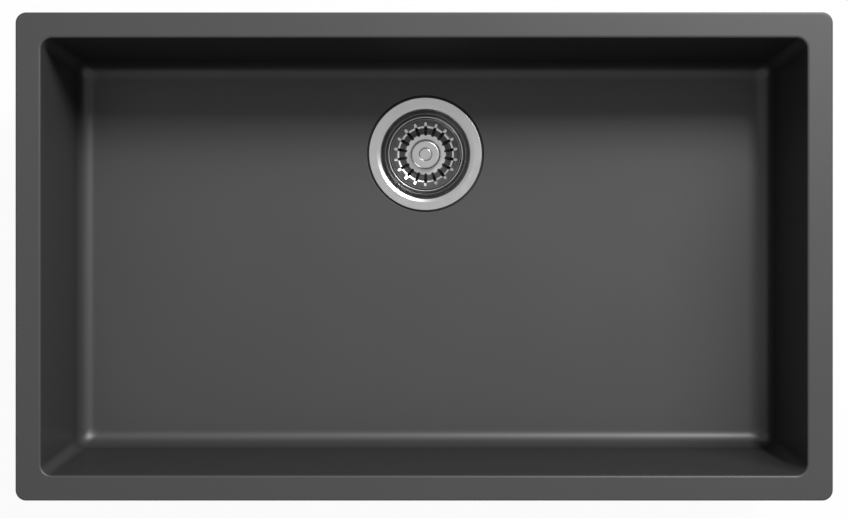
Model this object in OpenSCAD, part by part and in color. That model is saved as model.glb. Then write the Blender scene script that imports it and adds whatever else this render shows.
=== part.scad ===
// Undermount kitchen sink moulded in stone composite, with a basket strainer waste.
// The origin is the middle of the rim's top face, which is glued up under a worktop.
// X runs to the right, Y to the back and Z up. Lengths are in millimetres.

/* [Sink] */
// Overall width, left to right
sink_w = 770; // [700:5:860]
// Overall depth, front to back
sink_d = 460; // [430:5:520]
// Width of the flat rim around the bowl
rim_w = 24.2; // [23:0.2:35]
// Thickness of the rim
rim_t = 12; // [10:1:16]
// Corner radius of the rim's outer edge
rim_corner_r = 10; // [6:1:20]
// Rounding of the rim's outer top edge
rim_edge_r = 1.5; // [0.5:0.5:3]
// Depth of the bowl, from the rim's top face down to the waste
bowl_depth = 200; // [160:5:230]
// Corner radius of the bowl's walls
bowl_corner_r = 10.5; // [9:0.5:25]
// Corner radius of the flat floor
floor_corner_r = 8; // [5:1:20]
// Rounding where the walls turn into the floor
floor_r = 16.5; // [12:0.5:30]
// Rounding where the rim turns down into the bowl
bowl_edge_r = 2.5; // [2:0.5:6]
// How far the walls lean inwards, in degrees
wall_lean = 4.4; // [2:0.2:6]
// Thickness of the walls
wall_t = 9; // [7:0.5:11]
// Thickness of the floor around the waste
floor_t = 10; // [8:0.5:14]
// How far the floor falls from the walls to the waste
floor_fall = 3; // [1:0.5:6]
// Rounding under the rim, where it meets the wall
under_rim_r = 6; // [3:1:8]
// Distance from the bowl's middle back to the waste
waste_y = 101; // [60:1:110]

/* [Fixing inserts under the rim] */
// Distance of the inserts from the rim's outer edge
insert_inset = 8; // [8:0.5:9]
// Height of the moulded pad around each insert
pad_h = 4; // [2:1:6]
// Radius of the moulded pad
pad_r = 7; // [5.5:0.5:7]
// Outer radius of the insert
insert_r = 4; // [3.5:0.25:4.5]
// Radius of the insert's tapped hole
insert_hole_r = 2.5; // [2:0.25:3]
// Length of the insert
insert_l = 10; // [6:1:11]
// Spacing of the front and back corner inserts
insert_span_x = 560; // [400:10:600]
// Spacing of the inserts on each side
insert_span_y = 240; // [160:10:280]

/* [Strainer cup] */
// Radius of the cup's flange
flange_r = 57; // [55:0.5:60]
// Height of the flange's top above the bowl floor
flange_proud = 0.5; // [0:0.1:1]
// Thickness of the sheet steel
cup_t = 1; // [0.8:0.1:1.2]
// Radius of the cup's mouth
mouth_r = 43.8; // [43.2:0.1:43.8]
// Rounding of the mouth's edge
mouth_edge_r = 4.5; // [3:0.5:6]
// Gap around the flange in its recess
flange_gap = 1.2; // [0.6:0.1:2]
// Depth of the recess in the floor
recess_depth = 3; // [2:0.5:4]
// Radius of the waste hole through the floor
waste_hole_r = 45; // [45:0.25:46]
// Depth of the cup's inside below the bowl floor
cup_depth = 62; // [62:0.5:66]
// Radius of the throat's inside at the cup's bottom
throat_r = 23.5; // [23:0.25:24.5]
// Inner radius of the ring of outlet openings
outlet_in_r = 10.5; // [10:0.25:11.5]
// Outer radius of the ring of outlet openings
outlet_out_r = 20.5; // [18:0.5:21]
// Number of bars between the outlet openings
outlet_bars = 4; // [3:1:6]
// Width of each bar
outlet_bar_w = 4; // [3:0.5:5]

/* [Strainer basket] */
// Radius of the basket's rolled rim
basket_r = 36.8; // [36.4:0.1:37.4]
// Radius of the wire inside the rolled rim
bead_r = 1; // [0.8:0.1:1.2]
// Depth of the rolled rim below the bowl floor
bead_depth = 16; // [14:0.5:17]
// Thickness of the basket's sheet steel
basket_t = 0.8; // [0.6:0.1:1]
// Radius of the foot of the basket's upper wall
shoulder_r = 29.2; // [28.8:0.1:29.6]
// Depth of the foot of the upper wall
shoulder_depth = 32.4; // [31.5:0.1:32.6]
// Radius where the shoulder drops into the lower wall
well_r = 26.5; // [26:0.1:26.8]
// Depth where the shoulder drops into the lower wall
well_depth = 33.6; // [33:0.2:34]
// Radius of the basket's bottom plate
plate_r = 21.3; // [21:0.1:22]
// Depth of the bottom plate
plate_depth = 42; // [41:0.5:42]
// Number of drain slots
slots = 18; // [12:1:20]
// Width of each slot
slot_w = 3; // [2:0.2:3.4]
// Radius of the slots' inner ends
slot_in_r = 19; // [17.5:0.1:19.5]
// Radius of the slots' outer ends
slot_out_r = 32.4; // [31:0.2:33]
// Gap between the basket's shoulder and the cup below it
under_basket_gap = 3.3; // [2.5:0.1:4]
// Width of the cup's shoulder, which is under the basket's
cup_shoulder_w = 5.8; // [5:0.1:6]

/* [Knob and plug] */
// Radius of the knob
knob_r = 15; // [12:0.5:16]
// Depth of the knob's top below the bowl floor
knob_depth = 24; // [22:0.5:26]
// Thickness of the knob's disc
knob_t = 3.4; // [2.5:0.1:4.5]
// Radius of the knob's neck
neck_r = 6; // [5:0.5:8]
// Radius of the stem's round head in the knob's middle
head_r = 6.3; // [4.5:0.1:6.5]
// Height of the head above the knob
head_proud = 0.8; // [0.4:0.1:1.2]
// Depth of the knob's recess that takes the head
head_recess = 1; // [0.6:0.1:1.4]
// Gap between the head and its recess
head_gap = 0.3; // [0.2:0.05:0.5]
// Radius of the stem
stem_r = 3; // [2.5:0.1:3.5]
// Running gap between the stem and what turns on it
stem_gap = 0.08; // [0.05:0.01:0.1]
// Thickness of the rubber plug at its middle
plug_t = 2.9; // [2.5:0.1:3.2]
// Gap between the plug's lip and its seat in the cup
plug_gap = 0.3; // [0.2:0.05:0.5]
// Radius of the washer that backs the plug
backing_r = 12; // [9:0.5:15]
// Thickness of the backing washer
backing_t = 1.2; // [0.8:0.1:1.6]
// Distance across the flats of the stem's nut
nut_af = 10; // [8:0.5:11]
// Height of the stem's nut
nut_h = 3.6; // [3:0.2:4]
// Thickness of the rubber catch ring
catch_t = 1.5; // [1.2:0.1:1.8]
// Gap between the catch ring and the socket that grips it
catch_gap = 0.3; // [0.2:0.05:0.4]

/* [Clamp screw] */
// Radius of the screw's tall head
post_r = 7.5; // [7:0.25:8.5]
// Gap between the stem's nut and the top of the screw's head
post_gap = 1.5; // [1:0.25:2.5]
// Radius of the screw's shank
screw_r = 3; // [2.5:0.1:3.5]
// Length of the screw's shank
screw_l = 21; // [16:1:22]
// Thickness of the washer under the head
washer_t = 1; // [0.8:0.1:1.5]
// Radius of the washer under the head
washer_r = 9.5; // [8.5:0.25:9.75]

/* [Waste body] */
// Thickness of the gasket under the floor
gasket_t = 4; // [3:0.5:5]
// Inner radius of the body's bell
bell_r = 46.5; // [46.5:0.25:48]
// Wall thickness of the body
body_t = 3; // [2.5:0.25:3.5]
// Radius of the body's clamping flange
body_flange_r = 54; // [53:0.5:57]
// Thickness of the clamping flange
body_flange_t = 4; // [3:0.5:5]
// Depth of the straight part of the bell
bell_h = 33; // [32:0.5:36]
// Depth of the cone that narrows to the outlet
cone_h = 37; // [35:1:45]
// Outer radius of the threaded outlet
outlet_r = 23.9; // [23.5:0.1:24.5]
// Inner radius of the outlet
outlet_bore_r = 20.5; // [19.5:0.25:21]
// Length of the threaded outlet
outlet_l = 19; // [16:1:26]
// Radius of the boss that holds the clamp screw's nut
boss_r = 9; // [8:0.25:9.5]
// Outer radius of the brass nut moulded in the boss
brass_r = 5; // [4.5:0.25:5.5]
// Length of the brass nut
brass_l = 16; // [12:1:16]
// Thickness of the ribs that carry the boss
rib_t = 3; // [2.5:0.5:4]
// Number of places for stiffening webs under the clamping flange
webs = 12; // [8:1:16]
// Thickness of each web
web_t = 2.4; // [2:0.2:3]
// Height of each web
web_h = 12; // [8:1:14]
// Outer radius of the side inlet
inlet_r = 13.2; // [12:0.2:13.6]
// Bore radius of the side inlet
inlet_bore_r = 10; // [8:0.5:10.5]
// Length of the side inlet, measured from the waste's axis
inlet_l = 67; // [64:1:72]
// Gap between the side inlet and the clamping flange above it
inlet_gap = 1; // [0.5:0.25:2]
// Thickness of the washer in the blanking cap
cap_seal_t = 2; // [1.5:0.5:3]
// Thickness of the blanking cap's wall
cap_t = 2.6; // [2:0.2:3]
// Length of the blanking cap's skirt
cap_skirt = 9; // [6:0.5:10]
// Number of grips round the blanking cap
cap_grips = 12; // [8:1:16]
// Radius of each grip
grip_r = 1.2; // [1:0.1:1.6]

/* [Hidden] */

round_fn = 96;
small_fn = 48;
eps = 0.01;

stone = [0.30, 0.30, 0.31];
steel = [0.76, 0.77, 0.78];
brass = [0.80, 0.65, 0.32];
rubber = [0.09, 0.09, 0.09];
plastic = [0.17, 0.17, 0.18];

// Sink values that follow from the sizes above
half_w = sink_w / 2;
half_d = sink_d / 2;
under_z = -(bowl_depth + floor_t);
under_floor_r = floor_r + 6;
outer_wall_in = rim_w - wall_t / cos(wall_lean);
recess_r = flange_r + flange_gap;
floor_flat_r = recess_r + 4;
floor_reach = norm([half_w - rim_w, half_d - rim_w + waste_y]) - floor_flat_r;
pad_z = -(rim_t + pad_h);
corner_steps = 6;
side_steps = 8;
fillet_steps = 6;
edge_steps = 4;

// Waste values, with z = 0 at the bowl floor
seal_t = recess_depth + flange_proud - cup_t;
bead_z = -bead_depth;
ledge_z = bead_z - bead_r - 0.3;
gasket_top = -floor_t;
gasket_bottom = gasket_top - gasket_t;
cup_bottom = -(cup_depth + cup_t);
plate_under = -(plate_depth + basket_t);
plug_top = plate_under - 0.3;
plug_bottom = plug_top - plug_t;
nut_top = plug_bottom - backing_t;
nut_bottom = nut_top - nut_h;
post_top = nut_bottom - post_gap;
post_bottom = -cup_depth + washer_t;
catch_ring_r = stem_r + 0.1;
socket_r = catch_ring_r + catch_t / 2 + catch_gap;
socket_bottom = post_bottom + 0.8;
stem_end = socket_bottom + 0.8;
catch_z = stem_end + 2.8;
bush_flange_r = 7;
bush_r = 4.4;
bush_t = 1;
knob_bottom = -(knob_depth + knob_t + 3);
boss_bottom = cup_bottom - 24;
bell_end = gasket_bottom - bell_h;
cone_end = bell_end - cone_h;
outlet_end = cone_end - outlet_l;
inlet_z = gasket_bottom - body_flange_t - inlet_gap - inlet_r;
inlet_cap_r = inlet_r + 0.3 + cap_t;
inlet_clear = asin((inlet_r + web_t) / bell_r) + 2;

// Radius of the cup's lower wall at a height z, from its shoulder down to the throat
seat_r = well_r + basket_t + 1;
seat_z = -(well_depth + under_basket_gap);
seat_foot_r = throat_r + 1.2;
seat_foot_z = plug_bottom - 0.4;
function seat_at(z) = seat_r + (seat_foot_r - seat_r) * (seat_z - z) / (seat_z - seat_foot_z);

function unit(v) = v / norm(v);
function blend(a, b, t) = a + (b - a) * t;

// Outline of a rectangle with round corners, going round from its right side
function corner_point(hw, hd, r, q, a) =
    [(q == 0 || q == 3 ? 1 : -1) * (hw - r) + r * cos(a), (q < 2 ? 1 : -1) * (hd - r) + r * sin(a)];
function outline(hw, hd, r) = [
    for (q = [0 : 3]) each concat(
        [for (i = [0 : corner_steps]) corner_point(hw, hd, r, q, 90 * (q + i / corner_steps))],
        [for (k = [1 : side_steps - 1]) blend(
            corner_point(hw, hd, r, q, 90 * (q + 1)),
            corner_point(hw, hd, r, (q + 1) % 4, 90 * (q + 1)),
            k / side_steps)])
];

// One level of the sink's skin, set in from the rim's outer edge
function level(inset, r, z) = [for (p = outline(half_w - inset, half_d - inset, r)) [p.x, p.y, z]];

// The level's points drawn in to a circle round the waste
function circle_level(inset, r, z) = [
    for (p = outline(half_w - inset, half_d - inset, r))
        let (u = unit([p.x, p.y - waste_y]))
        [floor_flat_r * u.x, waste_y + floor_flat_r * u.y, z]
];

// The level with each point raised as the floor rises away from the waste
function rise(p) = floor_fall * (norm([p.x, p.y - waste_y]) - floor_flat_r) / floor_reach;
function raised(points) = [for (p = points) [p.x, p.y, p.z + rise(p)]];

// How far in from the rim's outer edge a leaning wall is at a height z
function wall_in(top_in, z) = top_in + (-z - bowl_edge_r) * tan(wall_lean);

// Levels round the fillet at a wall's foot, from the floor up to the wall
function foot_levels(top_in, z, r, corner_foot, corner_wall) =
    let (
        wall_z = z + r * (1 - sin(wall_lean)),
        centre_in = wall_in(top_in, wall_z) + r * cos(wall_lean)
    )
    [for (i = [0 : fillet_steps])
        let (t = i / fillet_steps, a = blend(90, wall_lean, t))
        level(centre_in - r * cos(a), blend(corner_foot, corner_wall, t), z + r - r * sin(a))];

bowl_edge_levels = [
    for (i = [0 : edge_steps])
        let (a = blend(wall_lean, 90, i / edge_steps), out = bowl_edge_r * (1 - cos(a)))
        level(rim_w - out, bowl_corner_r + out, -bowl_edge_r + bowl_edge_r * sin(a))
];
rim_edge_levels = [
    for (i = [0 : edge_steps])
        let (a = 90 * i / edge_steps, inset = rim_edge_r * (1 - sin(a)))
        level(inset, rim_corner_r - inset, -rim_edge_r * (1 - cos(a)))
];
under_rim_levels = [
    for (i = [0 : edge_steps])
        let (
            a = blend(90, wall_lean, i / edge_steps),
            wall = wall_in(outer_wall_in, -rim_t - under_rim_r),
            inset = wall - under_rim_r + under_rim_r * cos(a)
        )
        level(inset, bowl_corner_r + wall_t, -rim_t - under_rim_r + under_rim_r * sin(a))
];
inner_foot = [
    for (l = foot_levels(rim_w, -bowl_depth, floor_r, floor_corner_r, bowl_corner_r)) raised(l)
];
outer_foot = foot_levels(
    outer_wall_in, under_z, under_floor_r, floor_corner_r + wall_t, bowl_corner_r + wall_t
);

function reversed(list) = [for (i = [len(list) - 1 : -1 : 0]) list[i]];

skin_levels = concat(
    [circle_level(rim_w + floor_r, floor_corner_r, -bowl_depth)],
    inner_foot,
    bowl_edge_levels,
    rim_edge_levels,
    [level(0, rim_corner_r, -rim_t)],
    under_rim_levels,
    reversed(outer_foot),
    [circle_level(rim_w + floor_r, floor_corner_r, under_z)]
);

// A closed skin through a list of levels that have the same number of points
module skin(levels) {
    n = len(levels[0]);
    last = len(levels) - 1;
    polyhedron(
        points = [for (l = levels) each l],
        faces = concat(
            [[for (i = [n - 1 : -1 : 0]) i]],
            [for (k = [0 : last - 1]) for (i = [0 : n - 1]) each [
                [k * n + i, k * n + (i + 1) % n, (k + 1) * n + (i + 1) % n],
                [k * n + i, (k + 1) * n + (i + 1) % n, (k + 1) * n + i]]],
            [[for (i = [0 : n - 1]) last * n + i]]
        ),
        convexity = 6
    );
}

insert_x = half_w - insert_inset;
insert_y = half_d - insert_inset;
insert_places = concat(
    [for (x = [-1, 0, 1]) for (y = [-1, 1]) [x * insert_span_x / 2, y * insert_y]],
    [for (x = [-1, 1]) for (y = [-1, 1]) [x * insert_x, y * insert_span_y / 2]]
);

module at_inserts() {
    for (p = insert_places) translate([p.x, p.y, pad_z]) children();
}

module at_waste() {
    translate([0, waste_y, -bowl_depth]) children();
}

// A disc or ring from height z0 up to z1
module ring(r_out, r_in, z0, z1, fn = round_fn) {
    translate([0, 0, z0]) difference() {
        cylinder(r = r_out, h = z1 - z0, $fn = fn);
        if (r_in > 0) translate([0, 0, -1]) cylinder(r = r_in, h = z1 - z0 + 2, $fn = fn);
    }
}

// Points of an arc that rounds the corner b between a and c, with b's third value as its radius
function round_corner(a, b, c, n) =
    let (
        p = [b[0], b[1]],
        u = unit([a[0], a[1]] - p),
        v = unit([c[0], c[1]] - p),
        half = acos(u * v) / 2,
        m = p + unit(u + v) * b[2] / sin(half),
        w0 = unit(p + u * b[2] / tan(half) - m),
        w1 = unit(p + v * b[2] / tan(half) - m),
        turn = 180 - 2 * half
    )
    [for (k = [0 : n]) m + b[2] * (w0 * sin(turn * (1 - k / n)) + w1 * sin(turn * k / n)) / sin(turn)];

// An open line with its corners rounded
function rounded(line, n = 5) = [
    for (i = [0 : len(line) - 1])
        each (i == 0 || i == len(line) - 1 || line[i][2] == 0)
            ? [[line[i][0], line[i][1]]]
            : round_corner(line[i - 1], line[i], line[i + 1], n)
];

// The side of a line that faces away from the cup's inside, with the corners mitred
function away(line, i) =
    let (
        a = unit(line[max(i, 1)] - line[max(i, 1) - 1]),
        b = unit(line[min(i, len(line) - 2) + 1] - line[min(i, len(line) - 2)]),
        s = unit(a + b)
    )
    [-s.y, s.x] / (a * s);

// Section of sheet metal of thickness t along a line
function sheet(line, t) = concat(line, [for (i = [len(line) - 1 : -1 : 0]) line[i] + t * away(line, i)]);

module sink_bowl() {
    color(stone) difference() {
        union() {
            skin(skin_levels);
            at_inserts() cylinder(r = pad_r, h = pad_h + 2, $fn = small_fn);
        }
        at_waste() {
            ring(recess_r, 0, -recess_depth, floor_fall + 1);
            ring(waste_hole_r, 0, -floor_t - 1, 0);
        }
        at_inserts() translate([0, 0, -1]) cylinder(r = insert_r, h = insert_l + 1, $fn = small_fn);
    }
}

module rim_inserts() {
    color(brass) at_inserts() difference() {
        cylinder(r = insert_r, h = insert_l, $fn = small_fn);
        translate([0, 0, -1]) cylinder(r = insert_hole_r, h = insert_l - 1, $fn = small_fn);
    }
}

module flange_seal() {
    color(rubber) at_waste()
        ring(flange_r - cup_t - 0.6, mouth_r + mouth_edge_r, -recess_depth, -recess_depth + seal_t);
}

// Inside of the cup, from the flange's outer edge down to the middle of its bottom
cup_line = rounded([
    [flange_r, -recess_depth + 0.5, 0],
    [flange_r, flange_proud, cup_t + 0.4],
    [mouth_r + 0.4, flange_proud, mouth_edge_r],
    [basket_r + 1.95, ledge_z + 1.4, 1],
    [basket_r, ledge_z - 0.55, 1],
    [seat_r + cup_shoulder_w, -shoulder_depth - under_basket_gap, 3],
    [seat_r, seat_z, 1.2],
    [seat_foot_r, seat_foot_z, 1],
    [throat_r, -cup_depth, 2],
    [screw_r + 0.3, -cup_depth, 0]
]);

module outlet_openings() {
    translate([0, 0, cup_bottom - 1]) linear_extrude(cup_t + 2) difference() {
        circle(r = outlet_out_r, $fn = round_fn);
        circle(r = outlet_in_r, $fn = round_fn);
        for (i = [0 : outlet_bars - 1])
            rotate(45 + 360 * i / outlet_bars)
                translate([0, -outlet_bar_w / 2]) square([outlet_out_r + 1, outlet_bar_w]);
    }
}

module strainer_cup() {
    color(steel) at_waste() difference() {
        rotate_extrude($fn = round_fn) polygon(sheet(cup_line, cup_t));
        outlet_openings();
    }
}

module floor_gasket() {
    color(rubber) at_waste() ring(body_flange_r - 0.5, waste_hole_r + 1, gasket_bottom, gasket_top);
}

bell_inside = [
    [0, gasket_bottom + 1],
    [bell_r, gasket_bottom + 1],
    [bell_r, bell_end],
    [outlet_bore_r, cone_end],
    [outlet_bore_r, outlet_end - 1],
    [0, outlet_end - 1]
];
bell_outside = [
    [0, gasket_bottom],
    [body_flange_r, gasket_bottom],
    [body_flange_r, gasket_bottom - body_flange_t],
    [bell_r + body_t, gasket_bottom - body_flange_t],
    [bell_r + body_t, bell_end - 1],
    [outlet_r + 1.6, cone_end],
    [outlet_r + 1.6, cone_end - 2],
    [outlet_r, cone_end - 2],
    [outlet_r, outlet_end + 1],
    [outlet_r - 1, outlet_end],
    [0, outlet_end]
];

module at_inlet() {
    translate([0, 0, inlet_z]) rotate([-90, 0, 0]) children();
}

// Webs under the clamping flange, apart from those that the side inlet would meet
module flange_webs() {
    top = gasket_bottom - body_flange_t + 1;
    for (a = [for (i = [0 : webs - 1]) 360 * (i + 0.5) / webs])
        if (abs(a - 90) > inlet_clear)
            rotate([90, 0, a])
                translate([0, 0, -web_t / 2])
                    linear_extrude(web_t)
                        polygon([
                            [bell_r + 1, top],
                            [body_flange_r - 0.5, top],
                            [body_flange_r - 0.5, top - 1],
                            [bell_r + body_t, top - web_h],
                            [bell_r + 1, top - web_h]
                        ]);
}

module boss_ribs() {
    intersection() {
        rotate_extrude($fn = round_fn) polygon(bell_outside);
        for (i = [0 : outlet_bars - 1])
            rotate(45 + 360 * i / outlet_bars)
                translate([boss_r - 2, -rib_t / 2, boss_bottom + 4])
                    cube([bell_r, rib_t, cup_bottom - boss_bottom - 6]);
    }
}

module waste_body() {
    color(plastic) at_waste() difference() {
        union() {
            difference() {
                union() {
                    rotate_extrude($fn = round_fn) polygon(bell_outside);
                    flange_webs();
                    at_inlet() ring(inlet_r, 0, bell_r - 3, inlet_l, small_fn);
                }
                rotate_extrude($fn = round_fn) polygon(bell_inside);
                at_inlet() ring(inlet_bore_r, 0, bell_r - 6, inlet_l + 1, small_fn);
            }
            boss_ribs();
            ring(boss_r, 0, boss_bottom, cup_bottom, small_fn);
        }
        ring(brass_r, 0, cup_bottom - brass_l, cup_bottom + 1, small_fn);
        ring(screw_r + 0.3, 0, cup_bottom - screw_l, cup_bottom, small_fn);
    }
}

module clamp_nut() {
    color(brass) at_waste() ring(brass_r, screw_r, cup_bottom - brass_l, cup_bottom, small_fn);
}

module clamp_screw() {
    color(steel) at_waste() difference() {
        union() {
            ring(post_r, 0, post_bottom, post_top, small_fn);
            ring(screw_r, 0, post_bottom - screw_l, post_bottom + 1, small_fn);
        }
        ring(socket_r, 0, socket_bottom, post_top + 1, small_fn);
        translate([-post_r - 1, -1, post_top - 2]) cube([2 * post_r + 2, 2, 3]);
    }
}

module clamp_washer() {
    color(steel) at_waste() ring(washer_r, screw_r + 0.3, -cup_depth, post_bottom, small_fn);
}

module inlet_cap_washer() {
    color(rubber) at_waste() at_inlet()
        ring(inlet_r, inlet_bore_r, inlet_l, inlet_l + cap_seal_t, small_fn);
}

module inlet_cap() {
    cap_end = inlet_l + cap_seal_t + cap_t;
    color(plastic) at_waste() at_inlet() difference() {
        union() {
            ring(inlet_cap_r, 0, inlet_l - cap_skirt, cap_end, small_fn);
            for (i = [0 : cap_grips - 1])
                rotate(360 * i / cap_grips)
                    translate([inlet_cap_r - grip_r / 2, 0, inlet_l - cap_skirt + 0.6])
                        cylinder(r = grip_r, h = cap_skirt + cap_seal_t - 0.6, $fn = 24);
        }
        ring(inlet_r + 0.3, 0, inlet_l - cap_skirt - 1, inlet_l + cap_seal_t, small_fn);
    }
}

module stem_pin() {
    head_z = -knob_depth - head_recess + head_gap;
    groove_low = catch_z - catch_t / 2;
    color(steel) at_waste() difference() {
        union() {
            rotate_extrude($fn = small_fn) polygon(concat(
                [[0, head_z]],
                rounded([
                    [head_r, head_z, 0],
                    [head_r, -knob_depth + head_proud, 0.9],
                    [0, -knob_depth + head_proud, 0]
                ])
            ));
            ring(stem_r, 0, stem_end, head_z + eps, small_fn);
        }
        ring(stem_r + 1, catch_ring_r - catch_t / 2, groove_low, groove_low + catch_t, small_fn);
    }
}

module rubber_plug() {
    lip_z = plug_top - 1.4;
    lip_r = seat_at(plug_bottom) - plug_gap;
    color(rubber) at_waste() rotate_extrude($fn = round_fn) polygon([
        [stem_r, plug_top],
        [plate_r - 2.3, plug_top],
        [lip_r - 0.4, lip_z],
        [lip_r, lip_z - 0.4],
        [lip_r, plug_bottom],
        [lip_r - 1.2, plug_bottom],
        [lip_r - 4, lip_z - 0.8],
        [backing_r + 1.5, lip_z - 0.8],
        [backing_r + 0.5, plug_bottom],
        [stem_r, plug_bottom]
    ]);
}

module plug_washer() {
    color(steel) at_waste() ring(backing_r, stem_r, nut_top, plug_bottom, small_fn);
}

module stem_nut() {
    color(steel) at_waste() difference() {
        translate([0, 0, nut_bottom]) cylinder(r = nut_af / 2 / cos(30), h = nut_h, $fn = 6);
        ring(stem_r, 0, nut_bottom - 1, nut_top + 1, small_fn);
    }
}

module catch_ring() {
    color(rubber) at_waste() translate([0, 0, catch_z]) rotate_extrude($fn = small_fn)
        translate([catch_ring_r, 0]) circle(d = catch_t, $fn = 24);
}

// Inside of the basket, from its rim down to the hole in its bottom plate
basket_line = rounded([
    [basket_r - 0.5, bead_z + 0.4, 0],
    [shoulder_r, -shoulder_depth, 1.6],
    [well_r, -well_depth, 1],
    [plate_r, -plate_depth, 1.6],
    [bush_r, -plate_depth, 0]
]);

module basket_slots() {
    for (i = [0 : slots - 1])
        rotate(90 + 360 * i / slots)
            translate([0, 0, plate_under - 1])
                linear_extrude(plate_depth - bead_depth) {
                    translate([slot_in_r + slot_w / 2, -slot_w / 2])
                        square([slot_out_r - slot_in_r - slot_w, slot_w]);
                    for (r = [slot_in_r + slot_w / 2, slot_out_r - slot_w / 2])
                        translate([r, 0]) circle(d = slot_w, $fn = 24);
                }
}

module basket_shell() {
    color(steel) at_waste() difference() {
        rotate_extrude($fn = round_fn) union() {
            polygon(sheet(basket_line, basket_t));
            translate([basket_r, bead_z]) circle(r = bead_r, $fn = 24);
        }
        basket_slots();
    }
}

module knob_cap() {
    bore_r = stem_r + stem_gap;
    color(steel) at_waste() rotate_extrude($fn = round_fn) polygon(rounded([
        [bore_r, -knob_depth - head_recess, 0],
        [head_r + head_gap, -knob_depth - head_recess, 0],
        [head_r + head_gap, -knob_depth, 0.3],
        [knob_r, -knob_depth, 1.6],
        [knob_r, -knob_depth - knob_t, 1.2],
        [neck_r, -knob_depth - knob_t - 0.4, 1],
        [neck_r, knob_bottom, 0],
        [bore_r, knob_bottom, 0]
    ]));
}

module knob_spacer() {
    color(plastic) at_waste()
        ring(neck_r - 0.6, stem_r + stem_gap, -plate_depth + bush_t, knob_bottom, small_fn);
}

module hub_bush() {
    color(plastic) at_waste() {
        difference() {
            union() {
                ring(bush_flange_r, 0, -plate_depth, -plate_depth + bush_t, small_fn);
                ring(bush_r, 0, plate_under, -plate_depth + eps, small_fn);
            }
            ring(stem_r + stem_gap, 0, plate_under - 1, -plate_depth + bush_t + 1, small_fn);
        }
    }
}

sink_bowl();
rim_inserts();
flange_seal();
strainer_cup();
floor_gasket();
waste_body();
clamp_nut();
clamp_screw();
clamp_washer();
inlet_cap();
inlet_cap_washer();
stem_pin();
rubber_plug();
plug_washer();
stem_nut();
catch_ring();
basket_shell();
knob_cap();
knob_spacer();
hub_bush();
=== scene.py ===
"""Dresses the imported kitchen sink: a stone composite bowl with a steel basket strainer waste."""
import math

import bmesh
import bpy
from bpy.props import FloatProperty, FloatVectorProperty, IntProperty, PointerProperty
from mathutils import Matrix, Vector


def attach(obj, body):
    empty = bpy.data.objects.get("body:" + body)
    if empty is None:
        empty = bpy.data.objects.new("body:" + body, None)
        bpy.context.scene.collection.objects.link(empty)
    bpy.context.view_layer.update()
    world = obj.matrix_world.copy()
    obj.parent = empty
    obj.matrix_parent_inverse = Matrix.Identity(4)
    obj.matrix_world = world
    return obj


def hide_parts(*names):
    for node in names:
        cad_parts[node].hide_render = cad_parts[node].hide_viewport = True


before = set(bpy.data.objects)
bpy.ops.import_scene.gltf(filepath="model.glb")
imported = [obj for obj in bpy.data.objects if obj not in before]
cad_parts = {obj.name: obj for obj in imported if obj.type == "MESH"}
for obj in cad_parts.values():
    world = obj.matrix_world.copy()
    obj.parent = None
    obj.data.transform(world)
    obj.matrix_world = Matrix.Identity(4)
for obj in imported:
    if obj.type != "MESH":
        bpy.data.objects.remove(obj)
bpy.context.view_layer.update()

bl_info = {
    "name": "Kitchen sink",
    "version": (1, 0, 0),
    "blender": (4, 5, 0),
    "location": "View3D > Sidebar > Kitchen sink",
    "description": "Builds the visible pieces of an undermount kitchen sink with its strainer waste",
    "category": "Object",
}

MM = 0.001
TURN = 2 * math.pi
QUARTER = math.pi / 2
HAIR = 1e-6
NODE_STEP = 240
NODE_ROWS = 3
ROUND_STEPS = 128
SMALL_STEPS = 64
FIXING_STEPS = 48


# Sizes and colours that a user may change

def length(name, description, default):
    """A length that a user may change"""
    return FloatProperty(name=name, description=description, default=default, unit="LENGTH")


def tint(name, description, default):
    """A colour that a user may change"""
    return FloatVectorProperty(
        name=name, description=description, default=default, subtype="COLOR", min=0, max=1)


class SinkSizes(bpy.types.PropertyGroup):
    """Sizes of the moulded bowl"""

    width: length("Width", "Overall width, left to right", 0.770)
    depth: length("Depth", "Overall depth, front to back", 0.460)
    rim_width: length("Rim width", "Width of the flat rim around the bowl", 0.0242)
    rim_thickness: length("Rim thickness", "Thickness of the rim", 0.012)
    rim_corner: length("Rim corner", "Corner radius of the rim's outer edge", 0.010)
    rim_edge: length("Rim edge", "Rounding of the rim's outer top edge", 0.0015)
    bowl_depth: length("Bowl depth", "Depth from the rim's top down to the waste", 0.200)
    bowl_corner: length("Bowl corner", "Corner radius of the bowl's walls", 0.0105)
    floor_corner: length("Floor corner", "Corner radius of the flat floor", 0.008)
    floor_radius: length("Floor rounding", "Rounding where the walls turn into the floor", 0.0165)
    bowl_edge: length("Bowl edge", "Rounding where the rim turns down into the bowl", 0.0025)
    wall_lean: FloatProperty(
        name="Wall lean", description="How far the walls lean inwards", default=math.radians(4.4),
        subtype="ANGLE")
    wall_thickness: length("Wall thickness", "Thickness of the walls", 0.009)
    floor_thickness: length("Floor thickness", "Thickness of the floor at the waste", 0.010)
    floor_fall: length("Floor fall", "How far the floor falls to the waste", 0.003)
    under_rim: length("Under rim", "Rounding under the rim, at the wall", 0.006)
    waste_back: length("Waste position", "Distance from the middle back to the waste", 0.101)
    recess_radius: length("Recess radius", "Radius of the flange's recess", 0.0582)
    recess_depth: length("Recess depth", "Depth of the flange's recess", 0.003)
    waste_hole: length("Waste hole", "Radius of the hole through the floor", 0.045)


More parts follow.
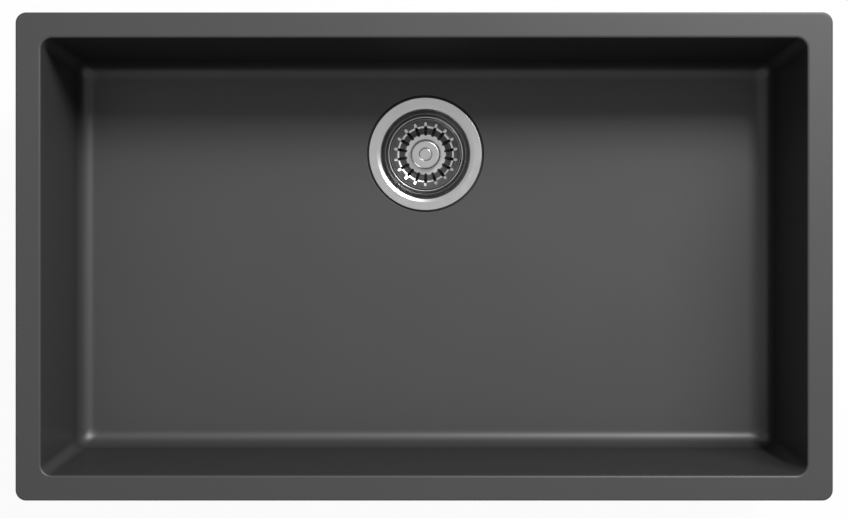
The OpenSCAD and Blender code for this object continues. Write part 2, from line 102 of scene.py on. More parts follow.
class FixingSizes(bpy.types.PropertyGroup):
    """Sizes of the pads and tapped inserts under the rim"""

    pad_height: length("Pad height", "Height of the moulded pads", 0.004)
    pad_radius: length("Pad radius", "Radius of the moulded pads", 0.007)
    insert_radius: length("Insert radius", "Outer radius of the inserts", 0.004)
    hole_radius: length("Hole radius", "Radius of the tapped holes", 0.0025)
    insert_length: length("Insert length", "Length of the inserts", 0.010)
    inset: length("Inset", "Distance of the inserts from the rim's outer edge", 0.008)
    span_x: length("Long spacing", "Spacing of the front and back inserts", 0.560)
    span_y: length("Side spacing", "Spacing of the inserts on each side", 0.240)


class WasteSizes(bpy.types.PropertyGroup):
    """Sizes of the strainer waste, with heights measured from the bowl floor at the waste"""

    flange_radius: length("Flange radius", "Radius of the cup's flange", 0.057)
    flange_proud: length("Flange height", "Height of the flange above the floor", 0.0005)
    cup_sheet: length("Cup sheet", "Thickness of the cup's sheet steel", 0.001)
    mouth_radius: length("Mouth radius", "Radius of the cup's mouth", 0.0438)
    mouth_edge: length("Mouth edge", "Width of the slope at the cup's mouth", 0.0045)
    cup_depth: length("Cup depth", "Depth of the cup's inside", 0.062)
    basket_radius: length("Basket radius", "Radius of the basket's rolled rim", 0.0368)
    shoulder_radius: length("Shoulder radius", "Outer radius of the basket's shoulder", 0.0292)
    well_radius: length("Well radius", "Inner radius of the basket's shoulder", 0.0265)
    plate_radius: length("Plate radius", "Radius of the basket's flat bottom", 0.0213)
    basket_sheet: length("Basket sheet", "Thickness of the basket's sheet", 0.0008)
    slots: IntProperty(name="Slots", description="Number of drain slots", default=18, min=3)
    slot_width: length("Slot width", "Width of each drain slot", 0.003)
    slot_in: length("Slot start", "Radius of the slots' inner ends", 0.0190)
    slot_out: length("Slot end", "Radius of the slots' outer ends", 0.0324)
    knob_radius: length("Knob radius", "Radius of the knob", 0.015)
    head_radius: length("Head radius", "Radius of the stem's head", 0.0063)
    knob_depth: length("Knob depth", "Depth of the knob's top", 0.024)
    outlet_radius: length("Outlet radius", "Outer radius of the threaded outlet", 0.0239)
    outlet_pitch: length("Outlet pitch", "Pitch of the outlet's thread", 0.002309)


class Finishes(bpy.types.PropertyGroup):
    """Colours and roughness of the materials"""

    stone: tint("Stone", "Colour of the stone composite", (0.045, 0.045, 0.0465))
    stone_roughness: FloatProperty(
        name="Stone roughness", description="Roughness of the moulded face", default=0.39, subtype="FACTOR")
    steel: tint("Steel", "Colour of the polished steel", (0.37, 0.37, 0.374))
    brass: tint("Brass", "Colour of the brass", (0.72, 0.53, 0.24))
    rubber: tint("Rubber", "Colour of the rubber", (0.012, 0.012, 0.012))
    plastic: tint("Plastic", "Colour of the moulded plastic", (0.03, 0.03, 0.032))


class StudioSettings(bpy.types.PropertyGroup):
    """Camera, lamps and floor"""

    camera_height: length("Camera height", "Height of the camera above the rim", 3.283)
    camera_x: length("Camera X", "How far right the camera stands", 0.021)
    camera_y: length("Camera Y", "How far back the camera stands", 0.028)
    lens: FloatProperty(name="Lens", description="Focal length in millimetres", default=148.0)
    shift_x: FloatProperty(name="Shift X", description="Sideways shift of the frame", default=-0.0265)
    shift_y: FloatProperty(name="Shift Y", description="Upward shift of the frame", default=-0.038)
    lamp_place: FloatVectorProperty(
        name="Lamp place", description="Where the small lamp hangs, behind the right back corner",
        default=(0.73, 1.18, 2.2), subtype="XYZ", unit="LENGTH")
    lamp_size: FloatVectorProperty(
        name="Lamp size", description="Width and depth of the small lamp", default=(0.14, 0.5), size=2,
        unit="LENGTH")
    lamp_power: FloatProperty(
        name="Lamp power", description="Power of the small lamp", default=42.0, unit="POWER")
    panel_place: FloatVectorProperty(
        name="Panel place", description="Where the broad lamp hangs, right of the small one",
        default=(1.1, 1.38, 2.2), subtype="XYZ", unit="LENGTH")
    panel_size: FloatVectorProperty(
        name="Panel size", description="Width and depth of the broad lamp", default=(1.2, 0.9), size=2,
        unit="LENGTH")
    panel_power: FloatProperty(
        name="Panel power", description="Power of the broad lamp", default=50.0, unit="POWER")
    sky: FloatProperty(name="Sky", description="Strength of the room's diffuse light", default=0.15)
    floor_height: length("Floor height", "Height of the studio floor", -0.3035)


# Plain geometry, as lists of points and faces

def line_unit(start, end):
    """Unit vector from one point of a section to another"""
    return (Vector(end[:2]) - Vector(start[:2])).normalized()


def arc(start, end, steps):
    """Evenly spaced values from one to another"""
    return [start + (end - start) * i / steps for i in range(steps + 1)]


def rounded(corners, fineness, closed=True):
    """Section through (radius, height, rounding in mm) corners, each rounding held by points beside it"""
    points = []
    count = len(corners)
    for i, (radius, height, rounding) in enumerate(corners):
        place = Vector((radius, height))
        if not rounding or not (closed or 0 < i < count - 1):
            points.append(place)
            continue
        before = corners[i - 1]
        after = corners[(i + 1) % count]
        back = line_unit(corners[i], before)
        ahead = line_unit(corners[i], after)
        half = back.angle(ahead) / 2
        rounding *= MM
        reach = rounding / math.tan(half)
        middle = place + (back + ahead).normalized() * rounding / math.sin(half)
        first = place + back * reach
        last = place + ahead * reach
        spread = math.pi - 2 * half
        hold = min(rounding * 0.3, 0.4 * MM)
        least_room = 3 * hold
        if (Vector(before[:2]) - first).length > least_room:
            points.append(first + back * hold)
        for share in arc(0, 1, fineness):
            near = math.sin(spread * (1 - share))
            far = math.sin(spread * share)
            points.append(middle + ((first - middle) * near + (last - middle) * far) / math.sin(spread))
        if (Vector(after[:2]) - last).length > least_room:
            points.append(last + ahead * hold)
    return points


def rows_of(count, size):
    """Numbers of the points in each of several rows of one size"""
    return [list(range(i * size, (i + 1) * size)) for i in range(count)]


def faces_between(rows):
    """Faces that join each closed row of points to the next, and the last row to the first"""
    faces = []
    for row, after in zip(rows, rows[1:] + rows[:1]):
        for i in range(len(row)):
            j = (i + 1) % len(row)
            corners = []
            for corner in (row[i], row[j], after[j], after[i]):
                if corner not in corners:
                    corners.append(corner)
            if len(corners) > 2:
                faces.append(corners)
    return faces


def lathe(section, steps=ROUND_STEPS):
    """Points and faces of a section turned round the Z axis"""
    points = []
    rows = []
    for radius, height in section:
        if radius < HAIR:
            rows.append([len(points)] * steps)
            points.append((0, 0, height))
            continue
        rows.append(list(range(len(points), len(points) + steps)))
        for i in range(steps):
            turn = TURN * i / steps
            points.append((radius * math.cos(turn), radius * math.sin(turn), height))
    return points, faces_between(rows)


def plate(outline, thickness, bevel=0.0):
    """A flat plate in the XZ plane, centred on Y, with bevelled edges"""
    shape = bmesh.new()
    face = shape.faces.new([shape.verts.new((x, -thickness / 2, z)) for x, z in outline])
    grown = bmesh.ops.extrude_face_region(shape, geom=[face])
    for item in grown["geom"]:
        if isinstance(item, bmesh.types.BMVert):
            item.co.y += thickness
    bmesh.ops.recalc_face_normals(shape, faces=shape.faces[:])
    if bevel:
        bmesh.ops.bevel(shape, geom=shape.edges[:], offset=bevel, segments=2, affect="EDGES", profile=0.5)
    shape.verts.index_update()
    points = [tuple(vertex.co) for vertex in shape.verts]
    faces = [[vertex.index for vertex in face.verts] for face in shape.faces]
    shape.free()
    return points, faces


def grid_part(rows, columns, place, keep):
    """A sheet of rows and columns, with faces only where they are kept"""
    points = [place(i, j) for i in range(rows) for j in range(columns)]
    faces = []
    for i in range(rows - 1):
        for j in range(columns - 1):
            if keep(i, j):
                start = i * columns + j
                faces.append([start, start + 1, start + columns + 1, start + columns])
    used = sorted({index for face in faces for index in face})
    order = {old: new for new, old in enumerate(used)}
    return [points[i] for i in used], [[order[i] for i in face] for face in faces]


# Objects, modifiers and what they ride on

def new_object(name, part):
    """A linked object made of points and faces"""
    mesh = bpy.data.meshes.new(name)
    mesh.from_pydata(part[0], [], part[1])
    mesh.update()
    piece = bpy.data.objects.new(name, mesh)
    bpy.context.scene.collection.objects.link(piece)
    return piece


def remove_piece(piece):
    """Removes an object that has done its work, and its mesh"""
    mesh = piece.data
    bpy.data.objects.remove(piece)
    bpy.data.meshes.remove(mesh)


def face_outwards(piece, open_sheet=False):
    """Merges doubled points and turns closed shells outwards, or an open sheet's flat parts up"""
    shape = bmesh.new()
    shape.from_mesh(piece.data)
    bmesh.ops.remove_doubles(shape, verts=shape.verts[:], dist=HAIR)
    bmesh.ops.recalc_face_normals(shape, faces=shape.faces[:])
    if open_sheet and sum(face.normal.z * face.calc_area() for face in shape.faces) < 0:
        bmesh.ops.reverse_faces(shape, faces=shape.faces[:])
    shape.to_mesh(piece.data)
    shape.free()
    piece.data.update()


def solid(name, part):
    """A closed object made of points and faces, with its faces outwards"""
    piece = new_object(name, part)
    face_outwards(piece)
    return piece


def turned(name, corners, fineness, steps=ROUND_STEPS, closed=True):
    """A piece turned round the Z axis from the corners of its section"""
    return solid(name, lathe(rounded(corners, fineness, closed), steps))


def flat_ring(name, inner, outer, low, high, edges, steps=SMALL_STEPS):
    """A flat ring, with the roundings of its section's corners in mm from the inner low one round"""
    places = [(inner, low), (outer, low), (outer, high), (inner, high)]
    return turned(name, [(*place, edge) for place, edge in zip(places, edges)], 3, steps)


def wire_ring(name, radius, height, half, section_steps, steps):
    """A ring of round section, given half the section's thickness"""
    turns = [TURN * i / section_steps for i in range(section_steps)]
    return solid(name, lathe(
        [(radius + half * math.cos(turn), height + half * math.sin(turn)) for turn in turns], steps))


def apply_modifiers(piece):
    """Turns what the modifiers make into the piece's own mesh"""
    graph = bpy.context.evaluated_depsgraph_get()
    result = bpy.data.meshes.new_from_object(piece.evaluated_get(graph))
    piece.modifiers.clear()
    old = piece.data
    piece.data = result
    bpy.data.meshes.remove(old)


def cut(piece, tool):
    """Takes the tool's shape away from the piece, and removes the tool"""
    modifier = piece.modifiers.new("Cut", "BOOLEAN")
    modifier.operation = "DIFFERENCE"
    modifier.solver = "EXACT"
    modifier.object = tool
    apply_modifiers(piece)
    remove_piece(tool)


def join_pieces(piece, *others):
    """Adds the meshes of other pieces to the first"""
    shape = bmesh.new()
    for part in (piece, *others):
        shape.from_mesh(part.data)
    shape.to_mesh(piece.data)
    shape.free()
    for other in others:
        remove_piece(other)
    piece.data.update()


def finish_piece(piece, finish, slot, body, node, sharp=35):
    """Gives a piece its shading, material and body, and hides the CAD node that it stands for"""
    piece.data.shade_smooth()
    piece.data.set_sharp_from_angle(angle=math.radians(sharp))
    piece.data.materials.clear()
    piece.data.materials.append(material_named(finish))
    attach(piece, body)
    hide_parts(node)


def finish_at_waste(piece, *values):
    """Moves a piece's mesh from the waste's own axes to its place in the sink, and finishes it"""
    sizes = bpy.context.scene.sink_sizes
    piece.data.transform(Matrix.Translation((0, sizes.waste_back, -sizes.bowl_depth)))
    finish_piece(piece, *values)


# Geometry Nodes trees

def add_node(tree, kind, inputs=None, **settings):
    """A node right of those before it, with its settings, and its inputs given as sockets or values"""
    column, row = divmod(len(tree.nodes), NODE_ROWS)
    made = tree.nodes.new(kind)
    made.location = (NODE_STEP * column, -NODE_STEP * row)
    for name, value in settings.items():
        setattr(made, name, value)
    for key, source in (inputs or {}).items():
        if isinstance(source, bpy.types.NodeSocket):
            tree.links.new(source, made.inputs[key])
        else:
            made.inputs[key].default_value = source
    return made


def result(tree, kind, inputs=None, **settings):
    """The first output of a new node"""
    return add_node(tree, kind, inputs, **settings).outputs[0]


def maths(tree, operation, *values):
    """The result of a Math node on sockets or numbers"""
    return result(tree, "ShaderNodeMath", dict(enumerate(values)), operation=operation)


def span(tree, value, low, high, to_low, to_high):
    """A value mapped from one range to another"""
    return result(tree, "ShaderNodeMapRange", {
        "Value": value, "From Min": low, "From Max": high, "To Min": to_low, "To Max": to_high})


def gathered(tree, *sources):
    """Several geometries as one"""
    join = add_node(tree, "GeometryNodeJoinGeometry")
    for source in sources:
        tree.links.new(source, join.inputs[0])
    return join.outputs[0]


def new_tree(name, inputs):
    """A geometry tree with its named inputs, and the outputs of the node that gives them"""
    tree = bpy.data.node_groups.new(name, "GeometryNodeTree")
    for label, kind in {"Geometry": "Geometry", **inputs, "Material": "Material"}.items():
        tree.interface.new_socket(label, in_out="INPUT", socket_type="NodeSocket" + kind)
    tree.interface.new_socket("Geometry", in_out="OUTPUT", socket_type="NodeSocketGeometry")
    return tree, add_node(tree, "NodeGroupInput").outputs


def close_tree(tree, entry, geometry, merge):
    """Ends a tree in realised instances, welded points and the material input"""
    real = result(tree, "GeometryNodeRealizeInstances", {"Geometry": geometry})
    weld = result(tree, "GeometryNodeMergeByDistance", {"Geometry": real, "Distance": merge})
    paint = result(
        tree, "GeometryNodeSetMaterial", {"Geometry": weld, "Material": entry["Material"]})
    add_node(tree, "NodeGroupOutput", {"Geometry": paint})


def ring_tree(name):
    """Copies of the piece in a ring round the Z axis, left out where the ring is open"""
    tree, entry = new_tree(name, {
        "Count": "Int", "Start": "Float", "Open Centre": "Float", "Open Half": "Float"})
    index = result(tree, "GeometryNodeInputIndex")
    step = maths(tree, "DIVIDE", TURN, entry["Count"])
    angle = maths(tree, "MULTIPLY_ADD", index, step, entry["Start"])
    points = result(tree, "GeometryNodePoints", {"Count": entry["Count"]})
    marked = result(tree, "GeometryNodeStoreNamedAttribute", {
        "Geometry": points, "Name": "turn", "Value": angle})
    turn = result(tree, "GeometryNodeInputNamedAttribute", {"Name": "turn"})
    away = maths(tree, "SUBTRACT", turn, entry["Open Centre"])
    near = maths(tree, "ABSOLUTE", away)
    left_out = maths(tree, "LESS_THAN", near, entry["Open Half"])
    kept = result(tree, "GeometryNodeDeleteGeometry", {"Geometry": marked, "Selection": left_out})
    facing = result(tree, "ShaderNodeCombineXYZ", {"Z": turn})
    copies = result(tree, "GeometryNodeInstanceOnPoints", {
        "Points": kept, "Instance": entry["Geometry"], "Rotation": facing})
    close_tree(tree, entry, copies, 2 * HAIR)


def fixing_tree(name):
    """Copies of the piece at the fixing places: three pairs front and back, and a pair on each side"""
    tree, entry = new_tree(name, {
        "Long Spacing": "Float", "Long Apart": "Float", "Side Spacing": "Float", "Side Apart": "Float"})
    rows = result(tree, "GeometryNodeMeshGrid", {
        "Size X": entry["Long Spacing"], "Size Y": entry["Long Apart"], "Vertices X": 3, "Vertices Y": 2})
    sides = result(tree, "GeometryNodeMeshGrid", {
        "Size X": entry["Side Apart"], "Size Y": entry["Side Spacing"], "Vertices X": 2, "Vertices Y": 2})
    copies = result(tree, "GeometryNodeInstanceOnPoints", {
        "Points": gathered(tree, rows, sides), "Instance": entry["Geometry"]})
    close_tree(tree, entry, copies, HAIR)


def thread_tree(name):
    """A thread's ridge along a helix, which fades at both ends, added to the piece"""
    root_share = 0.86
    crest_share = 0.16
    fade_turns = 0.35
    end_scale = 0.05
    tree, entry = new_tree(name, {
        "Radius": "Float", "Pitch": "Float", "Turns": "Float", "Bottom": "Float", "Height": "Float",
        "Steps": "Int"})
    climb = maths(tree, "MULTIPLY", entry["Pitch"], entry["Turns"])
    helix = result(tree, "GeometryNodeCurveSpiral", {
        "Resolution": entry["Steps"], "Rotations": entry["Turns"], "Start Radius": entry["Radius"],
        "End Radius": entry["Radius"], "Height": climb})
    upright = result(tree, "GeometryNodeSetCurveNormal", {"Curve": helix}, mode="Z_UP")
    along = result(tree, "GeometryNodeSplineParameter")
    turns_in = maths(tree, "MULTIPLY", along, entry["Turns"])
    turns_left = maths(tree, "SUBTRACT", entry["Turns"], turns_in)
    nearer = maths(tree, "MINIMUM", turns_in, turns_left)
    fade = span(tree, nearer, 0.0, fade_turns, end_scale, 1.0)
    root = maths(tree, "MULTIPLY", entry["Pitch"], root_share)
    crest = maths(tree, "MULTIPLY", entry["Pitch"], crest_share)
    tooth = result(tree, "GeometryNodeCurvePrimitiveQuadrilateral", {
        "Height": entry["Height"], "Bottom Width": root, "Top Width": crest, "Offset": 0.0}, mode="TRAPEZOID")
    ridge = result(tree, "GeometryNodeCurveToMesh", {
        "Curve": upright, "Profile Curve": tooth, "Fill Caps": True, "Scale": fade})
    lift = result(tree, "ShaderNodeCombineXYZ", {"Z": entry["Bottom"]})
    raised = result(tree, "GeometryNodeTransform", {"Geometry": ridge, "Translation": lift})
    close_tree(tree, entry, gathered(tree, raised, entry["Geometry"]), 0.1 * HAIR)


TREES = {"Ring of copies": ring_tree, "Copies at the fixings": fixing_tree, "Thread ridge": thread_tree}


def run_tree(piece, name, finish, values):
    """Runs a tree on the piece, with its inputs set by their identifiers, and keeps the result"""
    if name not in bpy.data.node_groups:
        TREES[name](name)
    tree = bpy.data.node_groups[name]
    values = {**values, "Material": material_named(finish)}
    modifier = piece.modifiers.new(name, "NODES")
    modifier.node_group = tree
    for item in tree.interface.items_tree:
        if item.in_out == "INPUT" and item.name in values:
            modifier[item.identifier] = values[item.name]
    apply_modifiers(piece)


def repeat_in_ring(piece, finish, count, start, open_centre=0.0, open_half=0.0):
    """Repeats the piece in a ring"""
    run_tree(piece, "Ring of copies", finish, {
        "Count": count, "Start": start, "Open Centre": open_centre, "Open Half": open_half})


def repeat_at_fixings(piece, finish):
    """Repeats the piece at the ten fixing places"""
    sizes = bpy.context.scene.sink_sizes
    fixings = bpy.context.scene.sink_fixings
    run_tree(piece, "Copies at the fixings", finish, {
        "Long Spacing": fixings.span_x, "Long Apart": sizes.depth - 2 * fixings.inset,
        "Side Spacing": fixings.span_y, "Side Apart": sizes.width - 2 * fixings.inset})


def add_thread(piece, finish, radius, bottom, top, pitch, height, steps):
    """Adds a thread's ridge to the piece, with its crest at the radius"""
    run_tree(piece, "Thread ridge", finish, {
        "Radius": radius - height / 2, "Pitch": pitch, "Turns": (top - bottom) / pitch,
        "Bottom": bottom, "Height": height, "Steps": steps})


# Materials, with the range in which a noise texture's values mostly lie

NOISE_LOW = 0.3
NOISE_HIGH = 0.7
WHITE = (1, 1, 1, 1)


def new_material(name):
    """An empty node material, its tree and its output node"""
    material = bpy.data.materials.new(name)
    material.use_nodes = True
    tree = material.node_tree
    tree.nodes.clear()
    return material, tree, add_node(tree, "ShaderNodeOutputMaterial")


def new_finish(name):
    """A material with a principled shader, its tree, the shader and the object coordinates"""
    material, tree, out = new_material(name)
    shader = add_node(tree, "ShaderNodeBsdfPrincipled")
    tree.links.new(shader.outputs[0], out.inputs["Surface"])
    place = add_node(tree, "ShaderNodeTexCoord")
    return material, tree, shader, place.outputs["Object"]


def noise(tree, place, scale, detail, roughness):
    """A noise texture's value at the given coordinates"""
    return result(tree, "ShaderNodeTexNoise", {
        "Vector": place, "Scale": scale, "Detail": detail, "Roughness": roughness})


def scaled(colour, factor):
    """A colour made lighter or darker"""
    return tuple(min(1.0, value * factor) for value in colour)


def set_tone(tree, shader, colour, pattern, low, high):
    """Lets a pattern vary the shader's colour between two factors of it"""
    first_colour = 6
    second_colour = 7
    colour_result = 2
    mix = add_node(tree, "ShaderNodeMix", {
        0: pattern, first_colour: (*scaled(colour, low), 1), second_colour: (*scaled(colour, high), 1)},
        data_type="RGBA")
    tree.links.new(mix.outputs[colour_result], shader.inputs["Base Color"])


def set_roughness(tree, shader, pattern, low, high):
    """Lets a pattern vary the shader's roughness"""
    tree.links.new(span(tree, pattern, NOISE_LOW, NOISE_HIGH, low, high), shader.inputs["Roughness"])


def set_relief(tree, shader, pattern, strength, distance):
    """Lets a pattern raise the shader's surface"""
    relief = result(tree, "ShaderNodeBump", {
        "Height": pattern, "Strength": strength, "Distance": distance})
    tree.links.new(relief, shader.inputs["Normal"])


def stone_material(name, colour, roughness):
    """Quartz grains in a dark resin with a fine moulded tooth, and a gloss that fades at a slant"""
    gloss = 0.38
    slant_gloss = 0.003
    fades_from = 0.3
    faded_at = 0.85
    material, tree, shader, place = new_finish(name)
    fine = noise(tree, place, scale=1700.0, detail=3.0, roughness=0.6)
    set_tone(tree, shader, colour, span(tree, fine, NOISE_LOW, NOISE_HIGH, 0.0, 1.0), 0.88, 1.12)
    broad = noise(tree, place, scale=9.0, detail=2.0, roughness=0.5)
    set_roughness(tree, shader, broad, roughness - 0.02, roughness + 0.02)
    slant = add_node(tree, "ShaderNodeLayerWeight", {"Blend": 0.5})
    fading = span(tree, slant.outputs["Facing"], fades_from, faded_at, gloss, slant_gloss)
    shader.inputs["Specular IOR Level"].default_value = gloss
    tree.links.new(fading, shader.inputs["Specular IOR Level"])
    tooth = noise(tree, place, scale=900.0, detail=4.0, roughness=0.65)
    set_relief(tree, shader, tooth, 0.12, 0.2 * MM)
    return material


def radius_from_waste(tree, place):
    """Distance from the waste's axis, for marks that a lathe leaves"""
    centred = result(tree, "ShaderNodeMapping", {
        "Vector": place, "Location": (0, -bpy.context.scene.sink_sizes.waste_back, 0)})
    flat = result(tree, "ShaderNodeVectorMath", {0: centred, 1: (1, 1, 0)}, operation="MULTIPLY")
    return add_node(tree, "ShaderNodeVectorMath", {0: flat}, operation="LENGTH").outputs["Value"]


def steel_material(name, colour, roughness, lines, metal=1.0):
    """Steel with fine turned lines round the waste's axis"""
    lines_per_metre = 2600.0
    material, tree, shader, place = new_finish(name)
    stretched = maths(tree, "MULTIPLY", radius_from_waste(tree, place), lines_per_metre)
    grooves = result(tree, "ShaderNodeTexNoise", {
        "W": stretched, "Scale": 1.0, "Detail": 3.0}, noise_dimensions="1D")
    smudge = noise(tree, place, scale=60.0, detail=3.0, roughness=0.6)
    shader.inputs["Metallic"].default_value = metal
    set_tone(tree, shader, colour, grooves, 0.96, 1.04)
    set_roughness(tree, shader, smudge, roughness * 0.85, roughness * 1.15)
    set_relief(tree, shader, grooves, lines, 0.02 * MM)
    return material


def brass_material(name, colour):
    """Machined brass, slightly uneven in tone"""
    material, tree, shader, place = new_finish(name)
    stain = noise(tree, place, scale=220.0, detail=4.0, roughness=0.6)
    shader.inputs["Metallic"].default_value = 1.0
    set_tone(tree, shader, colour, stain, 0.8, 1.1)
    set_roughness(tree, shader, stain, 0.24, 0.4)
    cuts = noise(tree, place, scale=2500.0, detail=2.0, roughness=0.5)
    set_relief(tree, shader, cuts, 0.1, 0.02 * MM)
    return material


def moulded_material(name, colour, roughness, grain_scale, grain):
    """Moulded rubber or plastic with a fine grain"""
    material, tree, shader, place = new_finish(name)
    cloud = noise(tree, place, scale=45.0, detail=3.0, roughness=0.55)
    set_tone(tree, shader, colour, cloud, 0.85, 1.2)
    set_roughness(tree, shader, cloud, roughness - 0.06, roughness + 0.06)
    leather = noise(tree, place, scale=grain_scale, detail=3.0, roughness=0.5)
    set_relief(tree, shader, leather, grain, 0.08 * MM)
    return material


def material_named(name):
    """The finish of that name, made the first time it is asked for"""
    if name in bpy.data.materials:
        return bpy.data.materials[name]
    chosen = bpy.context.scene.sink_finishes
    maker, *values = {
        "Stone composite": (stone_material, chosen.stone, chosen.stone_roughness),
        "Polished steel": (steel_material, chosen.steel, 0.24, 0.12),
        # The basket's steel is the polished steel's colour drawn 1.25 times lighter and only partly metal.
        # This is painted light, so that the basket's walls, which lie in shade, read grey.
        "Pressed steel": (steel_material, scaled(chosen.steel, 1.25), 0.3, 0.12, 0.8),
        "Turned steel": (steel_material, scaled(chosen.steel, 0.9), 0.28, 0.3),
        "Machined brass": (brass_material, chosen.brass),
        "Black rubber": (moulded_material, chosen.rubber, 0.62, 1400.0, 0.25),
        "Dark plastic": (moulded_material, chosen.plastic, 0.42, 1100.0, 0.18),
    }[name]
    return maker(name, *values)


# The moulded bowl

class BowlShape:
    """Levels of points round the bowl, which all have the same number of points in the same order"""

    quarters = ((1, 1), (-1, 1), (-1, -1), (1, -1))
    corner_steps = 14
    side_steps = (52, 22, 36, 22)

    def __init__(self, sizes):
        """Settles what the levels have in common"""
        self.sizes = sizes
        self.half = Vector((sizes.width / 2, sizes.depth / 2))
        self.waste = Vector((0, sizes.waste_back))
        self.flat_radius = sizes.recess_radius + 4 * MM
        corner = self.half - Vector((sizes.rim_width, sizes.rim_width)) + self.waste
        self.reach = corner.length - self.flat_radius
        self.outer_in = sizes.rim_width - sizes.wall_thickness / math.cos(sizes.wall_lean)
        self.shares = self.side_shares()

    def side_shares(self):
        """How far along each side its points lie, so that they stand at even angles round the waste"""
        foot_inset = self.sizes.rim_width + self.sizes.floor_radius * 1.6
        foot = self.half - Vector((foot_inset, foot_inset))
        ends = [Vector((x * foot.x, y * foot.y)) - self.waste for x, y in self.quarters]
        shares = []
        for i, count in enumerate(self.side_steps):
            start = ends[i]
            end = ends[(i + 1) % 4]
            side = end - start
            first = math.atan2(start.y, start.x)
            spread = (math.atan2(end.y, end.x) - first) % TURN
            row = []
            for k in range(1, count):
                turn = first + spread * k / count
                ray = Vector((math.cos(turn), math.sin(turn)))
                row.append((start.y * ray.x - start.x * ray.y) / (side.x * ray.y - side.y * ray.x))
            shares.append(row)
        return shares

    def level(self, inset, radius, height):
        """One level, set in from the rim's outer edge, with its corners' radius"""
        inner = self.half - Vector((inset + radius, inset + radius))
        centres = [(x * inner.x, y * inner.y) for x, y in self.quarters]

        def on_corner(i, turn):
            """A point of one of the four corners"""
            x, y = centres[i % 4]
            return Vector((x + radius * math.cos(turn), y + radius * math.sin(turn), height))

        points = []
        for i in range(4):
            turns = arc(QUARTER * i, QUARTER * (i + 1), self.corner_steps)
            points += [on_corner(i, turn) for turn in turns]
            start = points[-1]
            end = on_corner(i + 1, turns[-1])
            points += [start.lerp(end, share) for share in self.shares[i]]
        return points

    def circle(self, like, radius, height):
        """A level whose points are drawn in to a circle round the waste"""
        points = []
        for point in like:
            ray = (point.to_2d() - self.waste).normalized()
            points.append(Vector((radius * ray.x, self.waste.y + radius * ray.y, height)))
        return points

    def raised(self, points):
        """The level with each point raised as the floor rises away from the waste"""
        moved = []
        for point in points:
            far = (point.to_2d() - self.waste).length - self.flat_radius
            moved.append(point + Vector((0, 0, self.sizes.floor_fall * far / self.reach)))
        return moved

    def wall_inset(self, top_inset, height):
        """How far in a leaning wall is at a height"""
        return top_inset + (-height - self.sizes.bowl_edge) * math.tan(self.sizes.wall_lean)

    def foot(self, top_inset, height, radius, corner_foot, corner_wall, steps):
        """Levels round the fillet at a wall's foot, from the floor up to the wall"""
        lean = self.sizes.wall_lean
        wall_height = height + radius * (1 - math.sin(lean))
        centre = self.wall_inset(top_inset, wall_height) + radius * math.cos(lean)
        return [
            self.level(centre - radius * math.cos(turn), corner, height + radius * (1 - math.sin(turn)))
            for turn, corner in zip(arc(QUARTER, lean, steps), arc(corner_foot, corner_wall, steps))]


def bowl_part(sizes):
    """Points and faces of the whole moulding, as one closed skin"""
    shape = BowlShape(sizes)
    lean = sizes.wall_lean
    floor = -sizes.bowl_depth
    under = floor - sizes.floor_thickness
    recess = floor - sizes.recess_depth
    rim_low = -sizes.rim_thickness
    low_edge = 0.6 * MM
    under_growth = 6 * MM
    under_flat = 20 * MM
    outer_corner = sizes.bowl_corner + sizes.wall_thickness
    inner = [shape.raised(level) for level in shape.foot(
        sizes.rim_width, floor, sizes.floor_radius, sizes.floor_corner, sizes.bowl_corner, 16)]
    edge = []
    for turn in arc(lean, QUARTER, 10):
        out = sizes.bowl_edge * (1 - math.cos(turn))
        edge.append(shape.level(
            sizes.rim_width - out, sizes.bowl_corner + out, sizes.bowl_edge * (math.sin(turn) - 1)))
    rim = []
    for turn in arc(0, QUARTER, 6):
        inset = sizes.rim_edge * (1 - math.sin(turn))
        rim.append(shape.level(inset, sizes.rim_corner - inset, sizes.rim_edge * (math.cos(turn) - 1)))
    rim_foot = []
    for turn in arc(0, QUARTER, 4):
        inset = low_edge * (1 - math.cos(turn))
        height = rim_low + low_edge * (1 - math.sin(turn))
        rim_foot.append(shape.level(inset, sizes.rim_corner - inset, height))
    neck = []
    centre = rim_low - sizes.under_rim
    neck_in = shape.wall_inset(shape.outer_in, centre) - sizes.under_rim
    for turn in arc(QUARTER, lean, 8):
        inset = neck_in + sizes.under_rim * math.cos(turn)
        neck.append(shape.level(inset, outer_corner, centre + sizes.under_rim * math.sin(turn)))
    outer = shape.foot(
        shape.outer_in, under, sizes.floor_radius + under_growth, sizes.floor_corner + sizes.wall_thickness,
        outer_corner, 14)
    hole = [shape.circle(inner[0], radius, height) for radius, height in rounded([
        (sizes.waste_hole, under, 0.4), (sizes.waste_hole, recess, 0.3),
        (sizes.recess_radius, recess, 0.8), (sizes.recess_radius, floor, 0.5),
        (shape.flat_radius, floor, 0), (sizes.waste_hole + under_flat, under, 0)], 4)]
    skin = hole[:-1]
    for levels, shares in [
            (inner, (0.02, 0.1, 0.22, 0.36, 0.5, 0.64, 0.78, 0.9, 0.97, 0.99)),
            (edge, (0.01, 0.05, 0.25, 0.5, 0.75, 0.95, 0.99)), (rim, (0.02, 0.1, 0.5, 0.9, 0.98)),
            (rim_foot, (0.03, 0.5, 0.97)), (neck, (0.04, 0.5, 0.96)),
            (outer[::-1], (0.01, 0.05, 0.5, 0.95, 0.99)), (hole[-1:], (0.02, 0.1, 0.3, 0.5, 0.7, 0.9))]:
        last = skin[-1]
        skin += [[a.lerp(b, share) for a, b in zip(last, levels[0])] for share in shares]
        skin += levels
    points = [tuple(point) for level in skin for point in level]
    return points, faces_between(rows_of(len(skin), len(skin[0])))


